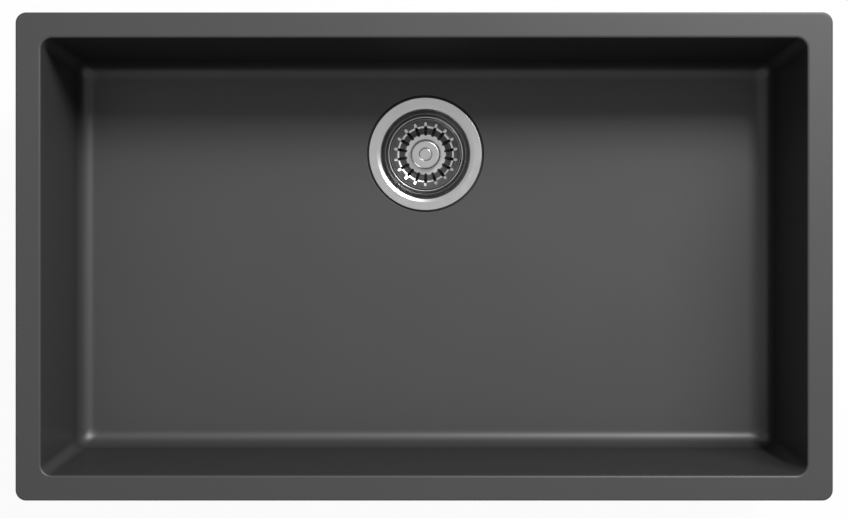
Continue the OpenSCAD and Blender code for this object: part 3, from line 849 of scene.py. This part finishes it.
class SINK_OT_stone_bowl(bpy.types.Operator):
    """Builds the moulded stone composite bowl with its rim and fixing pads"""

    bl_idname = "sink.stone_bowl"
    bl_label = "Stone bowl"

    def execute(self, context):
        """Makes the skin, cuts the insert holes and adds the pads"""
        sizes = context.scene.sink_sizes
        fixings = context.scene.sink_fixings
        hole = fixings.insert_radius
        pad = fixings.pad_radius
        draft = 0.15 * MM
        low = -sizes.rim_thickness - fixings.pad_height
        hole_low = low - MM
        hole_top = low + fixings.insert_length
        pad_top = -sizes.rim_thickness + MM
        bowl = solid("stone_bowl", bowl_part(sizes))
        holes = solid("fixing_holes", lathe(
            [(0, hole_low), (hole, hole_low), (hole, hole_top), (0, hole_top)], FIXING_STEPS))
        repeat_at_fixings(holes, "Stone composite")
        cut(bowl, holes)
        pads = turned("fixing_pads", [
            (hole, low, 0.2), (pad, low, 0.7), (pad + draft, pad_top, 0), (hole, pad_top, 0)],
            5, FIXING_STEPS)
        repeat_at_fixings(pads, "Stone composite")
        join_pieces(bowl, pads)
        finish_piece(bowl, "Stone composite", "stone_composite", "sink", "sink_bowl", 32)
        return {"FINISHED"}


class SINK_OT_rim_inserts(bpy.types.Operator):
    """Builds the ten tapped brass inserts under the rim"""

    bl_idname = "sink.rim_inserts"
    bl_label = "Rim inserts"

    def execute(self, context):
        """Turns one insert with its thread and copies it to the fixing places"""
        sizes = context.scene.sink_sizes
        fixings = context.scene.sink_fixings
        outside = fixings.insert_radius
        core = fixings.hole_radius + 0.3 * MM
        crest = fixings.hole_radius + 0.45 * MM
        low = -sizes.rim_thickness - fixings.pad_height
        top = low + fixings.insert_length
        blind_end = top - MM
        inserts = turned("tapped_inserts", [
            (core, low, 0.5), (outside, low, 0.15), (outside, top, 0), (0, top, 0),
            (0, blind_end, 0), (core, blind_end, 0)], 3, 40)
        add_thread(
            inserts, "Machined brass", crest, low + 0.4 * MM, blind_end - 0.4 * MM, pitch=1 * MM,
            height=0.9 * MM, steps=28)
        repeat_at_fixings(inserts, "Machined brass")
        finish_piece(inserts, "Machined brass", "brass", "sink", "rim_inserts")
        return {"FINISHED"}


# The strainer waste, with its heights measured from the bowl floor at the waste

class WastePlaces:
    """Heights and radii that several of the waste's pieces share"""

    def __init__(self, scene):
        """Works them out from the scene's sizes, as the solids do"""
        sizes = scene.sink_sizes
        waste = scene.sink_waste
        self.recess = -sizes.recess_depth
        self.gasket_top = -sizes.floor_thickness
        self.gasket_bottom = self.gasket_top - 4 * MM
        self.cup_floor = -waste.cup_depth
        self.cup_bottom = -waste.cup_depth - waste.cup_sheet
        self.seat_radius = 28.3 * MM
        self.seat_top = -36.9 * MM
        self.seat_foot_radius = 24.7 * MM
        self.bead = -16 * MM
        self.ledge = self.bead - 1 * MM - 0.3 * MM
        self.plate = -42 * MM
        self.plate_under = self.plate - waste.basket_sheet
        self.hub_radius = 4.4 * MM
        self.bush_top = self.plate + 1 * MM
        self.knob_bottom = -waste.knob_depth - 6.4 * MM
        self.plug_top = self.plate_under - 0.3 * MM
        self.plug_bottom = self.plug_top - 2.9 * MM
        self.seat_foot = self.plug_bottom - 0.4 * MM
        self.nut_top = self.plug_bottom - 1.2 * MM
        self.nut_bottom = self.nut_top - 3.6 * MM
        self.post_top = self.nut_bottom - 1.5 * MM
        self.post_bottom = -waste.cup_depth + 1 * MM
        self.socket_bottom = self.post_bottom + 0.8 * MM
        self.stem_radius = 3 * MM
        self.stem_end = self.socket_bottom + 0.8 * MM
        self.catch = self.stem_end + 2.8 * MM
        self.catch_wire = 0.75 * MM
        self.screw_hole = 3.3 * MM
        self.nut_radius = 5 * MM
        self.nut_low = self.cup_bottom - 16 * MM
        self.boss_bottom = self.cup_bottom - 24 * MM
        self.bell_radius = 46.5 * MM
        self.body_wall = 3 * MM
        self.bell_end = self.gasket_bottom - 33 * MM
        self.cone_end = self.bell_end - 37 * MM
        self.outlet_bore = 20.5 * MM
        self.outlet_end = self.cone_end - 19 * MM
        self.flange_under = self.gasket_bottom - 4 * MM
        self.inlet_bore = 10 * MM
        self.inlet_crest = 13.2 * MM
        self.inlet = self.flange_under - 1 * MM - self.inlet_crest
        self.inlet_end = 67 * MM
        self.cap_seat = 69 * MM


def along_inlet(at):
    """The matrix that lays what was made round Z round the side inlet's axis, which points back"""
    return Matrix.Translation((0, 0, at.inlet)) @ Matrix.Rotation(-QUARTER, 4, "X")


def pressed_piece(name, share, finish, count, start, thickness):
    """A sheet made of one share, repeated round the Z axis, with its thickness under it"""
    piece = new_object(name, share)
    repeat_in_ring(piece, finish, count, start)
    face_outwards(piece, open_sheet=True)
    modifier = piece.modifiers.new("Sheet", "SOLIDIFY")
    modifier.thickness = thickness
    modifier.offset = -1
    modifier.use_even_offset = True
    apply_modifiers(piece)
    return piece


class SINK_OT_strainer_cup(bpy.types.Operator):
    """Builds the pressed steel cup with its flange and its outlet openings"""

    bl_idname = "sink.strainer_cup"
    bl_label = "Strainer cup"

    def execute(self, context):
        """Makes a quarter of the sheet, repeats it and gives it its thickness"""
        waste = context.scene.sink_waste
        at = WastePlaces(context.scene)
        mouth_fall = 1 * MM
        waist_radius = 34.1 * MM
        waist = -35.7 * MM
        floor_radius = 23.5 * MM
        open_in = 10.5 * MM
        open_out = 20.5 * MM
        margin = 0.4 * MM
        bar = 4 * MM
        floor_rows = [
            open_out + margin, open_out, 18.5 * MM, 16 * MM, 13 * MM, open_in, open_in - margin, 7 * MM,
            at.screw_hole]
        line = rounded([
            (waste.flange_radius, at.recess + 0.5 * MM, 0),
            (waste.flange_radius, waste.flange_proud, waste.cup_sheet / MM + 0.4),
            (waste.mouth_radius + waste.mouth_edge, waste.flange_proud, 2),
            (waste.mouth_radius + 0.5 * MM, waste.flange_proud - mouth_fall, 2.5),
            (waste.basket_radius + 1.95 * MM, at.ledge + 1.4 * MM, 1),
            (waste.basket_radius, at.ledge - 0.55 * MM, 1), (waist_radius, waist, 3),
            (at.seat_radius, at.seat_top, 1.2), (at.seat_foot_radius, at.seat_foot, 1),
            (floor_radius, at.cup_floor, 2),
            *[(radius, at.cup_floor, 0) for radius in floor_rows]], 8, False)
        bar_columns = 6
        open_columns = 32

        def place(i, j):
            """A point of the quarter, whose first columns lie on a bar between two openings"""
            radius, height = line[i]
            half = math.asin(bar / 2 / max(open_in, min(open_out, radius)))
            if j <= bar_columns:
                turn = half * (2 * j / bar_columns - 1)
            else:
                turn = half + (QUARTER - 2 * half) * (j - bar_columns) / open_columns
            return radius * math.cos(turn), radius * math.sin(turn), height

        def keep(i, j):
            """Whether there is steel after a row and a column, as there isn't in an opening"""
            middle = (line[i].x + line[i + 1].x) / 2
            flat = line[i + 1].y < at.cup_floor + HAIR
            return j < bar_columns or not (flat and open_in < middle < open_out)

        share = grid_part(len(line), bar_columns + open_columns + 1, place, keep)
        cup = pressed_piece("pressed_cup", share, "Polished steel", 4, QUARTER / 2, waste.cup_sheet)
        finish_at_waste(cup, "Polished steel", "polished_steel", "sink", "strainer_cup")
        return {"FINISHED"}


class SINK_OT_seals(bpy.types.Operator):
    """Builds the flange seal, the floor gasket and the side inlet's washer"""

    bl_idname = "sink.seals"
    bl_label = "Seals and gaskets"

    def execute(self, context):
        """Turns the three rubber rings"""
        waste = context.scene.sink_waste
        at = WastePlaces(context.scene)
        soft = (0.3, 0.3, 0.3, 0.3)
        seal = flat_ring(
            "flange_sealing_ring", 48.3 * MM, 55.4 * MM, at.recess, waste.flange_proud - waste.cup_sheet,
            soft, ROUND_STEPS)
        finish_at_waste(seal, "Black rubber", "black_rubber", "sink", "flange_seal")
        inner = 46 * MM
        outer = 53.5 * MM
        groove_floor = outer - 0.6 * MM
        groove_half = 0.35 * MM
        corners = [(outer, at.gasket_bottom, 0.4)]
        for share in (0.3, 0.7):
            middle = at.gasket_bottom + share * (at.gasket_top - at.gasket_bottom)
            corners += [
                (outer, middle - groove_half, 0.1), (groove_floor, middle, 0.15),
                (outer, middle + groove_half, 0.1)]
        corners += [
            (outer, at.gasket_top, 0.4), (inner, at.gasket_top, 0.4),
            (inner, at.gasket_bottom, 0.4)]
        gasket = turned("ribbed_floor_gasket", corners, 3)
        finish_at_waste(gasket, "Black rubber", "black_rubber", "sink", "floor_gasket")
        washer = flat_ring(
            "cap_sealing_washer", at.inlet_bore, at.inlet_crest, at.inlet_end, at.cap_seat, soft)
        washer.data.transform(along_inlet(at))
        finish_at_waste(washer, "Black rubber", "black_rubber", "sink", "inlet_cap_washer")
        return {"FINISHED"}


class SINK_OT_waste_body(bpy.types.Operator):
    """Builds the moulded body under the sink, with its webs, outlet thread, side inlet and boss"""

    bl_idname = "sink.waste_body"
    bl_label = "Waste body"

    def execute(self, context):
        """Turns the body, opens the inlet and adds what is moulded on it"""
        at = WastePlaces(context.scene)
        body = self.outlet_body(context.scene.sink_waste, at)
        spigot = self.side_spigot(at)
        webs = self.flange_webs(at)
        boss = turned("clamp_boss", [
            (at.screw_hole, at.boss_bottom, 0.4), (9 * MM, at.boss_bottom, 0.8),
            (9 * MM, at.cup_bottom, 0.4), (at.nut_radius, at.cup_bottom, 0.2),
            (at.nut_radius, at.nut_low, 0), (at.screw_hole, at.nut_low, 0)], 4, SMALL_STEPS)
        join_pieces(body, spigot, webs, boss, self.boss_ribs(at))
        finish_at_waste(body, "Dark plastic", "dark_plastic", "sink", "waste_body")
        return {"FINISHED"}

    def outlet_body(self, waste, at):
        """The bell, cone and threaded outlet, with the inlet's hole through the bell"""
        inside = at.bell_radius
        outside = inside + at.body_wall
        flange = 54 * MM
        collar = waste.outlet_radius + 1.6 * MM
        collar_end = at.cone_end - 2 * MM
        core = waste.outlet_radius - 1.1 * MM
        body = turned("moulded_waste_body", [
            (inside, at.gasket_bottom, 0.5), (flange, at.gasket_bottom, 0.8),
            (flange, at.flange_under, 0.8), (outside, at.flange_under, 1.5),
            (outside, at.bell_end - 1 * MM, 6), (collar, at.cone_end, 2),
            (collar, collar_end, 0.4), (core, collar_end, 0.4), (core, at.outlet_end, 0.5),
            (at.outlet_bore, at.outlet_end, 0.5), (at.outlet_bore, at.cone_end, 2),
            (inside, at.bell_end, 5)], 6)
        hole_start = inside - 8 * MM
        hole_end = 60 * MM
        hole = solid("inlet_hole", lathe([
            (0, hole_start), (at.inlet_bore, hole_start), (at.inlet_bore, hole_end), (0, hole_end)], 48))
        hole.data.transform(along_inlet(at))
        cut(body, hole)
        add_thread(
            body, "Dark plastic", waste.outlet_radius, at.outlet_end + 1.2 * MM, collar_end - 0.6 * MM,
            pitch=waste.outlet_pitch, height=1.4 * MM, steps=96)
        return body

    def side_spigot(self, at):
        """The threaded side inlet"""
        start = at.bell_radius + 0.4 * MM
        foot = 15 * MM
        foot_end = at.bell_radius + at.body_wall + 1.4 * MM
        core = 12.4 * MM
        core_start = foot_end + 1.2 * MM
        spigot = turned("side_spigot", [
            (at.inlet_bore, start, 0), (foot, start, 0), (foot, foot_end, 0.8),
            (core, core_start, 0.8), (core, at.inlet_end, 0.4),
            (at.inlet_bore, at.inlet_end, 0.4)], 4, SMALL_STEPS)
        add_thread(
            spigot, "Dark plastic", at.inlet_crest, 53.4 * MM, at.inlet_end - 0.6 * MM, pitch=2 * MM,
            height=1.2 * MM, steps=64)
        spigot.data.transform(along_inlet(at))
        return spigot

    def flange_webs(self, at):
        """The thin webs under the flange, all round but for the side inlet"""
        root = at.bell_radius + 1 * MM
        tip = 53 * MM
        top = at.flange_under + 0.6 * MM
        low = at.flange_under - 11 * MM
        webs = new_object("flange_webs", plate([
            (root, top), (tip, top), (tip, top - 1.2 * MM), (at.bell_radius + at.body_wall, low),
            (root, low)], 2.4 * MM, 0.4 * MM))
        clear = math.asin(15.6 * MM / at.bell_radius) + math.radians(2)
        repeat_in_ring(webs, "Dark plastic", 12, math.radians(15), QUARTER, clear)
        return webs

    def boss_ribs(self, at):
        """The four ribs between the boss and the cone's inside"""
        root = 8 * MM
        low = at.boss_bottom + 4 * MM
        top = at.cup_bottom - 2 * MM
        sunk = 1.6 * MM
        tips = []
        for height in (low, top):
            share = (at.bell_end - height) / (at.bell_end - at.cone_end)
            tips.append((at.bell_radius + (at.outlet_bore - at.bell_radius) * share + sunk, height))
        ribs = new_object("boss_ribs", plate([(root, low), *tips, (root, top)], 3 * MM, 0.5 * MM))
        repeat_in_ring(ribs, "Dark plastic", 4, QUARTER / 2)
        return ribs


class SINK_OT_inlet_cap(bpy.types.Operator):
    """Builds the blanking cap on the side inlet, with its grips"""

    bl_idname = "sink.inlet_cap"
    bl_label = "Blanking cap"

    def execute(self, context):
        """Turns the cap and adds the grips round it"""
        at = WastePlaces(context.scene)
        bore = 13.5 * MM
        outer = 16.1 * MM
        skirt = 58 * MM
        end = 71.6 * MM
        dish = end - 0.6 * MM
        cap = turned("blanking_cap", [
            (bore, skirt, 0.4), (outer, skirt, 0.5), (outer, end, 0.9),
            (11 * MM, end, 0.4), (10.4 * MM, dish, 0.4), (0, dish, 0), (0, at.cap_seat, 0),
            (bore, at.cap_seat, 0.3)], 4, 96)
        grip_radius = 1.2 * MM
        grip_start = skirt + 0.6 * MM
        grip = turned("cap_grips", [
            (0, grip_start, 0), (grip_radius, grip_start, 0.5),
            (grip_radius, at.cap_seat - 0.4 * MM, 0.8), (0, at.cap_seat, 0)], 3, 20, False)
        grip.data.transform(Matrix.Translation((outer - grip_radius / 2, 0, 0)))
        repeat_in_ring(grip, "Dark plastic", 12, 0.0)
        join_pieces(cap, grip)
        cap.data.transform(along_inlet(at))
        finish_at_waste(cap, "Dark plastic", "dark_plastic", "sink", "inlet_cap")
        return {"FINISHED"}


class SINK_OT_clamp(bpy.types.Operator):
    """Builds the screw, washer and brass nut that clamp the cup to the body"""

    bl_idname = "sink.clamp"
    bl_label = "Clamp screw"

    def execute(self, context):
        """Turns the three pieces, slots the screw's head and threads its shank"""
        at = WastePlaces(context.scene)
        core = 2.6 * MM
        crest = 3 * MM
        head = 7.5 * MM
        socket = 4.15 * MM
        shank_end = at.post_bottom - 21 * MM
        screw = turned("clamping_screw", [
            (0, shank_end, 0), (core, shank_end, 0.4), (core, at.post_bottom - 1 * MM, 0),
            (crest, at.post_bottom, 0), (head, at.post_bottom, 0.4), (head, at.post_top, 0.5),
            (socket, at.post_top, 0.4), (socket, at.socket_bottom, 0), (0, at.socket_bottom, 0)],
            4, SMALL_STEPS)
        reach = head + 1.5 * MM
        slot_low = at.post_top - 2 * MM
        slot_top = at.post_top + 2 * MM
        cut(screw, solid("driver_slot", plate(
            [(-reach, slot_low), (reach, slot_low), (reach, slot_top), (-reach, slot_top)], 2 * MM)))
        add_thread(
            screw, "Turned steel", crest, shank_end + 0.5 * MM, at.post_bottom - 1.2 * MM, pitch=1 * MM,
            height=0.6 * MM, steps=32)
        finish_at_waste(screw, "Turned steel", "plain_steel", "sink", "clamp_screw")
        washer = flat_ring(
            "clamping_washer", at.screw_hole, 9.5 * MM, at.cup_floor, at.post_bottom, (0.1, 0.1, 0.25, 0.1))
        finish_at_waste(washer, "Turned steel", "plain_steel", "sink", "clamp_washer")
        outside = at.nut_radius
        groove = outside - 0.5 * MM
        nut = turned("brass_boss_nut", [
            (crest, at.nut_low, 0.4), (outside, at.nut_low, 0.2),
            (outside, at.cup_bottom - 5.4 * MM, 0.2), (groove, at.cup_bottom - 5.8 * MM, 0.2),
            (groove, at.cup_bottom - 7 * MM, 0.2), (outside, at.cup_bottom - 7.4 * MM, 0.2),
            (outside, at.cup_bottom, 0.2), (crest, at.cup_bottom, 0.4)], 3, SMALL_STEPS)
        finish_at_waste(nut, "Machined brass", "brass", "sink", "clamp_nut")
        return {"FINISHED"}


class SINK_OT_basket(bpy.types.Operator):
    """Builds the pressed basket with its drain slots and rolled rim"""

    bl_idname = "sink.basket"
    bl_label = "Strainer basket"

    def execute(self, context):
        """Makes one slot's share of the sheet, repeats it, thickens it and adds the rolled rim"""
        waste = context.scene.sink_waste
        at = WastePlaces(context.scene)
        roll = 0.5 * MM
        flare_radius = 34.6 * MM
        flare = at.bead - 1 * MM
        shoulder = -32.6 * MM
        well = -33.2 * MM
        line = rounded([
            (waste.basket_radius - roll, at.bead + 0.4 * MM, 0), (flare_radius, flare, 1),
            (waste.shoulder_radius, shoulder, 2.6), (waste.well_radius, well, 1),
            (waste.plate_radius, at.plate, 2.4), (at.hub_radius, at.plate, 0)], 10, False)
        half_slot = waste.slot_width / 2
        slot_share = TURN / waste.slots
        radii = self.row_radii(waste, at, line)
        side_columns = 5

        def place(i, j):
            """A point of the share, whose columns part in the middle to leave the slot"""
            radius = radii[i]
            half = 0.0
            if waste.slot_in < radius < waste.slot_out:
                past = max(waste.slot_in + half_slot - radius, radius - waste.slot_out + half_slot, 0.0)
                half = math.asin(math.sqrt(max(0.0, half_slot ** 2 - past ** 2)) / radius)
            if j <= side_columns:
                turn = -slot_share / 2 + (slot_share / 2 - half) * j / side_columns
            else:
                turn = half + (slot_share / 2 - half) * (j - side_columns - 1) / side_columns
            return radius * math.cos(turn), radius * math.sin(turn), self.height_at(line, radius)

        def keep(i, j):
            """Whether there is steel after a column, as there isn't after the middle one"""
            return j != side_columns

        share = grid_part(len(radii), 2 * side_columns + 2, place, keep)
        # The basket takes the lightened copy of the steel, whose brighter colour is painted light for its
        # shaded walls.
        basket = pressed_piece(
            "slotted_basket", share, "Pressed steel", waste.slots, QUARTER, waste.basket_sheet)
        rim = wire_ring("rolled_rim", waste.basket_radius, at.bead, roll, 20, 144)
        join_pieces(basket, rim)
        finish_at_waste(basket, "Pressed steel", "polished_steel", "basket", "basket_shell")
        return {"FINISHED"}

    def row_radii(self, waste, at, line):
        """Radii of the rows of points, close together round the slots' ends, from the outside in"""
        least_gap = 0.015 * MM
        digits = 7
        radii = {round(point.x, digits) for point in line}
        for turn in arc(0, QUARTER, 6):
            drawn = waste.slot_width / 2 * (1 - math.cos(turn))
            radii.add(round(waste.slot_in + drawn, digits))
            radii.add(round(waste.slot_out - drawn, digits))
        radii.update(round(radius, digits) for radius in arc(at.hub_radius, waste.slot_in, 6)[1:-1])
        rows = sorted(radii, reverse=True)
        return [radius for i, radius in enumerate(rows) if i == 0 or rows[i - 1] - radius > least_gap]

    def height_at(self, line, radius):
        """Height of the sheet's inside at a radius"""
        for start, end in zip(line, line[1:]):
            if end.x <= radius <= start.x:
                share = (start.x - radius) / max(start.x - end.x, 1e-9)
                return start.y + (end.y - start.y) * share
        return line[-1].y


class SINK_OT_knob(bpy.types.Operator):
    """Builds the knob, the sleeve under it and the bush in the basket's bottom"""

    bl_idname = "sink.knob"
    bl_label = "Knob"

    def execute(self, context):
        """Turns the three pieces"""
        waste = context.scene.sink_waste
        at = WastePlaces(context.scene)
        bore = at.stem_radius + 0.08 * MM
        seat = waste.head_radius + 0.3 * MM
        neck = 6 * MM
        sleeve = 5.4 * MM
        collar = 7 * MM
        top = -waste.knob_depth
        knob = turned("turned_knob", [
            (bore, top - 1 * MM, 0), (seat, top - 1 * MM, 0), (seat, top, 0.5),
            (waste.knob_radius, top, 2.6), (waste.knob_radius, top - 3.4 * MM, 0.6),
            (neck, top - 3.8 * MM, 1), (neck, at.knob_bottom, 0.3), (bore, at.knob_bottom, 0)], 8)
        finish_at_waste(knob, "Polished steel", "polished_steel", "basket", "knob_cap")
        spacer = flat_ring("spacer_sleeve", bore, sleeve, at.bush_top, at.knob_bottom, (0.1, 0.3, 0.2, 0.1))
        finish_at_waste(spacer, "Dark plastic", "dark_plastic", "basket", "knob_spacer")
        bush = turned("flanged_bush", [
            (bore, at.plate_under, 0.1), (at.hub_radius, at.plate_under, 0.1),
            (at.hub_radius, at.plate, 0), (collar, at.plate, 0.1), (collar, at.bush_top, 0.4),
            (bore, at.bush_top, 0.1)], 3, SMALL_STEPS)
        finish_at_waste(bush, "Dark plastic", "dark_plastic", "basket", "hub_bush")
        return {"FINISHED"}


def hex_nut_part(flats, bore, low, top):
    """Points and faces of a hexagon nut with its corners chamfered on both faces"""
    steps = 72
    chamfer = 0.4 * MM
    face = flats / 2 * 0.95
    slope = math.tan(math.radians(30))
    turns = [TURN * i / steps for i in range(steps)]
    hexagon = [flats / 2 / math.cos(turn % (TURN / 6) - TURN / 12) for turn in turns]
    levels = [[corner] * steps for corner in (
        (bore, low + chamfer), (bore + chamfer, low), (face, low))]
    levels.append([(radius, low + (radius - face) * slope) for radius in hexagon])
    levels.append([(radius, top - (radius - face) * slope) for radius in hexagon])
    levels += [[corner] * steps for corner in (
        (face, top), (bore + chamfer, top), (bore, top - chamfer))]
    points = [
        (radius * math.cos(turn), radius * math.sin(turn), height)
        for level in levels for turn, (radius, height) in zip(turns, level)]
    return points, faces_between(rows_of(len(levels), steps))


class SINK_OT_stem(bpy.types.Operator):
    """Builds the stem with its head, the plug's washer, the nut and the catch ring"""

    bl_idname = "sink.stem"
    bl_label = "Stem"

    def execute(self, context):
        """Turns the pieces and threads the stem where the nut sits"""
        waste = context.scene.sink_waste
        at = WastePlaces(context.scene)
        shaft = at.stem_radius
        core = 2.55 * MM
        groove = 2.35 * MM
        groove_low = at.catch - at.catch_wire
        groove_top = at.catch + at.catch_wire
        head_low = -waste.knob_depth - 0.7 * MM
        head_top = -waste.knob_depth + 0.8 * MM
        stem = turned("headed_stem", [
            (0, at.stem_end, 0), (shaft, at.stem_end, 0.3), (shaft, groove_low, 0.1),
            (groove, groove_low, 0), (groove, groove_top, 0), (shaft, groove_top, 0.1),
            (shaft, at.nut_bottom - 0.6 * MM, 0.1), (core, at.nut_bottom - 0.4 * MM, 0),
            (core, at.nut_top, 0), (shaft, at.nut_top + 0.2 * MM, 0), (shaft, head_low, 0),
            (waste.head_radius, head_low, 0.1), (waste.head_radius, head_top, 1.2),
            (0, head_top, 0)], 6, SMALL_STEPS, False)
        add_thread(
            stem, "Polished steel", shaft, at.nut_bottom - 0.3 * MM, at.nut_top, pitch=0.8 * MM,
            height=0.55 * MM, steps=32)
        finish_at_waste(stem, "Polished steel", "plain_steel", "plug_stem", "stem_pin")
        washer = flat_ring(
            "backing_washer", shaft, 12 * MM, at.nut_top, at.plug_bottom, (0.1, 0.3, 0.15, 0.1))
        finish_at_waste(washer, "Turned steel", "plain_steel", "plug_stem", "plug_washer")
        nut = solid("hexagon_stem_nut", hex_nut_part(10 * MM, shaft, at.nut_bottom, at.nut_top))
        finish_at_waste(nut, "Turned steel", "plain_steel", "plug_stem", "stem_nut", 20)
        catch = wire_ring(
            "rubber_catch", groove + at.catch_wire, at.catch, at.catch_wire, 24, SMALL_STEPS)
        finish_at_waste(catch, "Black rubber", "black_rubber", "plug_stem", "catch_ring")
        return {"FINISHED"}


class SINK_OT_rubber_plug(bpy.types.Operator):
    """Builds the rubber plug with its lip"""

    bl_idname = "sink.rubber_plug"
    bl_label = "Rubber plug"

    def execute(self, context):
        """Turns the plug with its soft edges"""
        at = WastePlaces(context.scene)
        bore = at.stem_radius
        low = at.plug_bottom
        fall = (at.seat_foot_radius - at.seat_radius) / (at.seat_top - at.seat_foot)
        lip = at.seat_radius + fall * (at.seat_top - low) - 0.3 * MM
        lip_top = at.plug_top - 1.4 * MM
        hollow = lip_top - 0.8 * MM
        plug = turned("lipped_plug", [
            (bore, at.plug_top, 0.1), (19 * MM, at.plug_top, 2), (lip - 0.4 * MM, lip_top, 0.4),
            (lip, lip_top - 0.4 * MM, 0.3), (lip, low, 0.3), (lip - 1.2 * MM, low, 0.3),
            (lip - 4 * MM, hollow, 0.3), (13.5 * MM, hollow, 0.3), (12.5 * MM, low, 0.2),
            (bore, low, 0)], 4)
        finish_at_waste(plug, "Black rubber", "black_rubber", "plug_stem", "rubber_plug")
        return {"FINISHED"}


# The studio

def ray_mix(tree, plain, shown):
    """A shader for ordinary light, and another that the camera, mirrors and glass see"""
    path = add_node(tree, "ShaderNodeLightPath").outputs
    some = maths(tree, "ADD", path["Is Camera Ray"], path["Is Glossy Ray"])
    every = maths(tree, "ADD", some, path["Is Transmission Ray"])
    every.node.use_clamp = True
    return result(tree, "ShaderNodeMixShader", {0: every, 1: plain, 2: shown})


def studio_world(strength):
    """A room that is white to look at and gives a low even light"""
    world = bpy.data.worlds.new("Pale room")
    bpy.context.scene.world = world
    world.use_nodes = True
    tree = world.node_tree
    tree.nodes.clear()
    light = result(tree, "ShaderNodeBackground", {"Color": WHITE, "Strength": strength})
    white = result(tree, "ShaderNodeBackground", {"Color": WHITE, "Strength": 1.0})
    add_node(tree, "ShaderNodeOutputWorld", {"Surface": ray_mix(tree, light, white)})


def floor_material():
    """A pale floor that looks nearly white, shows the object's shadow and is clear from below"""
    glow_share = 0.95
    material, tree, out = new_material("Pale floor")
    paint = result(tree, "ShaderNodeBsdfDiffuse", {"Color": (0.85, 0.85, 0.85, 1)})
    glow = result(tree, "ShaderNodeEmission", {"Color": WHITE, "Strength": 1.0})
    shown = result(tree, "ShaderNodeMixShader", {0: glow_share, 1: paint, 2: glow})
    side = add_node(tree, "ShaderNodeNewGeometry").outputs["Backfacing"]
    clear = result(tree, "ShaderNodeBsdfTransparent")
    sides = result(tree, "ShaderNodeMixShader", {
        0: side, 1: ray_mix(tree, paint, shown), 2: clear})
    tree.links.new(sides, out.inputs["Surface"])
    return material


def hang_lamp(name, place, size, power):
    """Hangs a flat lamp that faces the sink"""
    lamp = bpy.data.lights.new(name, "AREA")
    lamp.shape = "RECTANGLE"
    lamp.size, lamp.size_y = size
    lamp.energy = power
    x, y, z = place
    holder = bpy.data.objects.new(name, lamp)
    holder.location = (x, y, z)
    holder.rotation_euler = (-math.atan2(y, z), math.atan2(x, z), 0)
    bpy.context.scene.collection.objects.link(holder)


class SINK_OT_stage(bpy.types.Operator):
    """Sets up the camera, the lamps, the room and the pale floor"""

    bl_idname = "sink.stage"
    bl_label = "Studio"

    def execute(self, context):
        """Makes what lights and shows the sink"""
        scene = context.scene
        studio = scene.sink_studio
        lens = bpy.data.cameras.new("Overhead camera")
        lens.lens = studio.lens
        lens.sensor_width = 36
        lens.shift_x = studio.shift_x
        lens.shift_y = studio.shift_y
        lens.clip_end = 100
        camera = bpy.data.objects.new("Overhead camera", lens)
        camera.location = (studio.camera_x, studio.camera_y, studio.camera_height)
        scene.collection.objects.link(camera)
        scene.camera = camera
        hang_lamp("Small lamp", studio.lamp_place, studio.lamp_size, studio.lamp_power)
        hang_lamp("Broad lamp", studio.panel_place, studio.panel_size, studio.panel_power)
        studio_world(studio.sky)
        side = 30
        corners = [(-side, -side), (side, -side), (side, side), (-side, side)]
        floor = new_object("studio_floor", (
            [(x, y, studio.floor_height) for x, y in corners], [[0, 1, 2, 3]]))
        floor.data.materials.append(floor_material())
        scene.view_settings.view_transform = "Standard"
        return {"FINISHED"}


OPERATORS = [
    SINK_OT_stage,
    SINK_OT_stone_bowl,
    SINK_OT_rim_inserts,
    SINK_OT_strainer_cup,
    SINK_OT_seals,
    SINK_OT_waste_body,
    SINK_OT_inlet_cap,
    SINK_OT_clamp,
    SINK_OT_basket,
    SINK_OT_knob,
    SINK_OT_stem,
    SINK_OT_rubber_plug,
]


class SINK_PT_panel(bpy.types.Panel):
    """Lists the pieces of the sink"""

    bl_idname = "SINK_PT_panel"
    bl_label = "Kitchen sink"
    bl_space_type = "VIEW_3D"
    bl_region_type = "UI"
    bl_category = "Kitchen sink"

    def draw(self, context):
        """Shows one button for each piece"""
        for operator in OPERATORS:
            self.layout.operator(operator.bl_idname)


GROUPS = {
    "sink_sizes": SinkSizes,
    "sink_fixings": FixingSizes,
    "sink_waste": WasteSizes,
    "sink_finishes": Finishes,
    "sink_studio": StudioSettings,
}


def register():
    """Registers the groups, operators and panel"""
    for name, group in GROUPS.items():
        bpy.utils.register_class(group)
        setattr(bpy.types.Scene, name, PointerProperty(type=group))
    for item in OPERATORS:
        bpy.utils.register_class(item)
    bpy.utils.register_class(SINK_PT_panel)


def unregister():
    """Takes them away again"""
    bpy.utils.unregister_class(SINK_PT_panel)
    for item in reversed(OPERATORS):
        bpy.utils.unregister_class(item)
    for name, group in GROUPS.items():
        delattr(bpy.types.Scene, name)
        bpy.utils.unregister_class(group)


def main():
    """Builds the whole sink"""
    register()
    for item in OPERATORS:
        group, name = item.bl_idname.split(".")
        getattr(getattr(bpy.ops, group), name)()


if __name__ == "__main__":
    main()
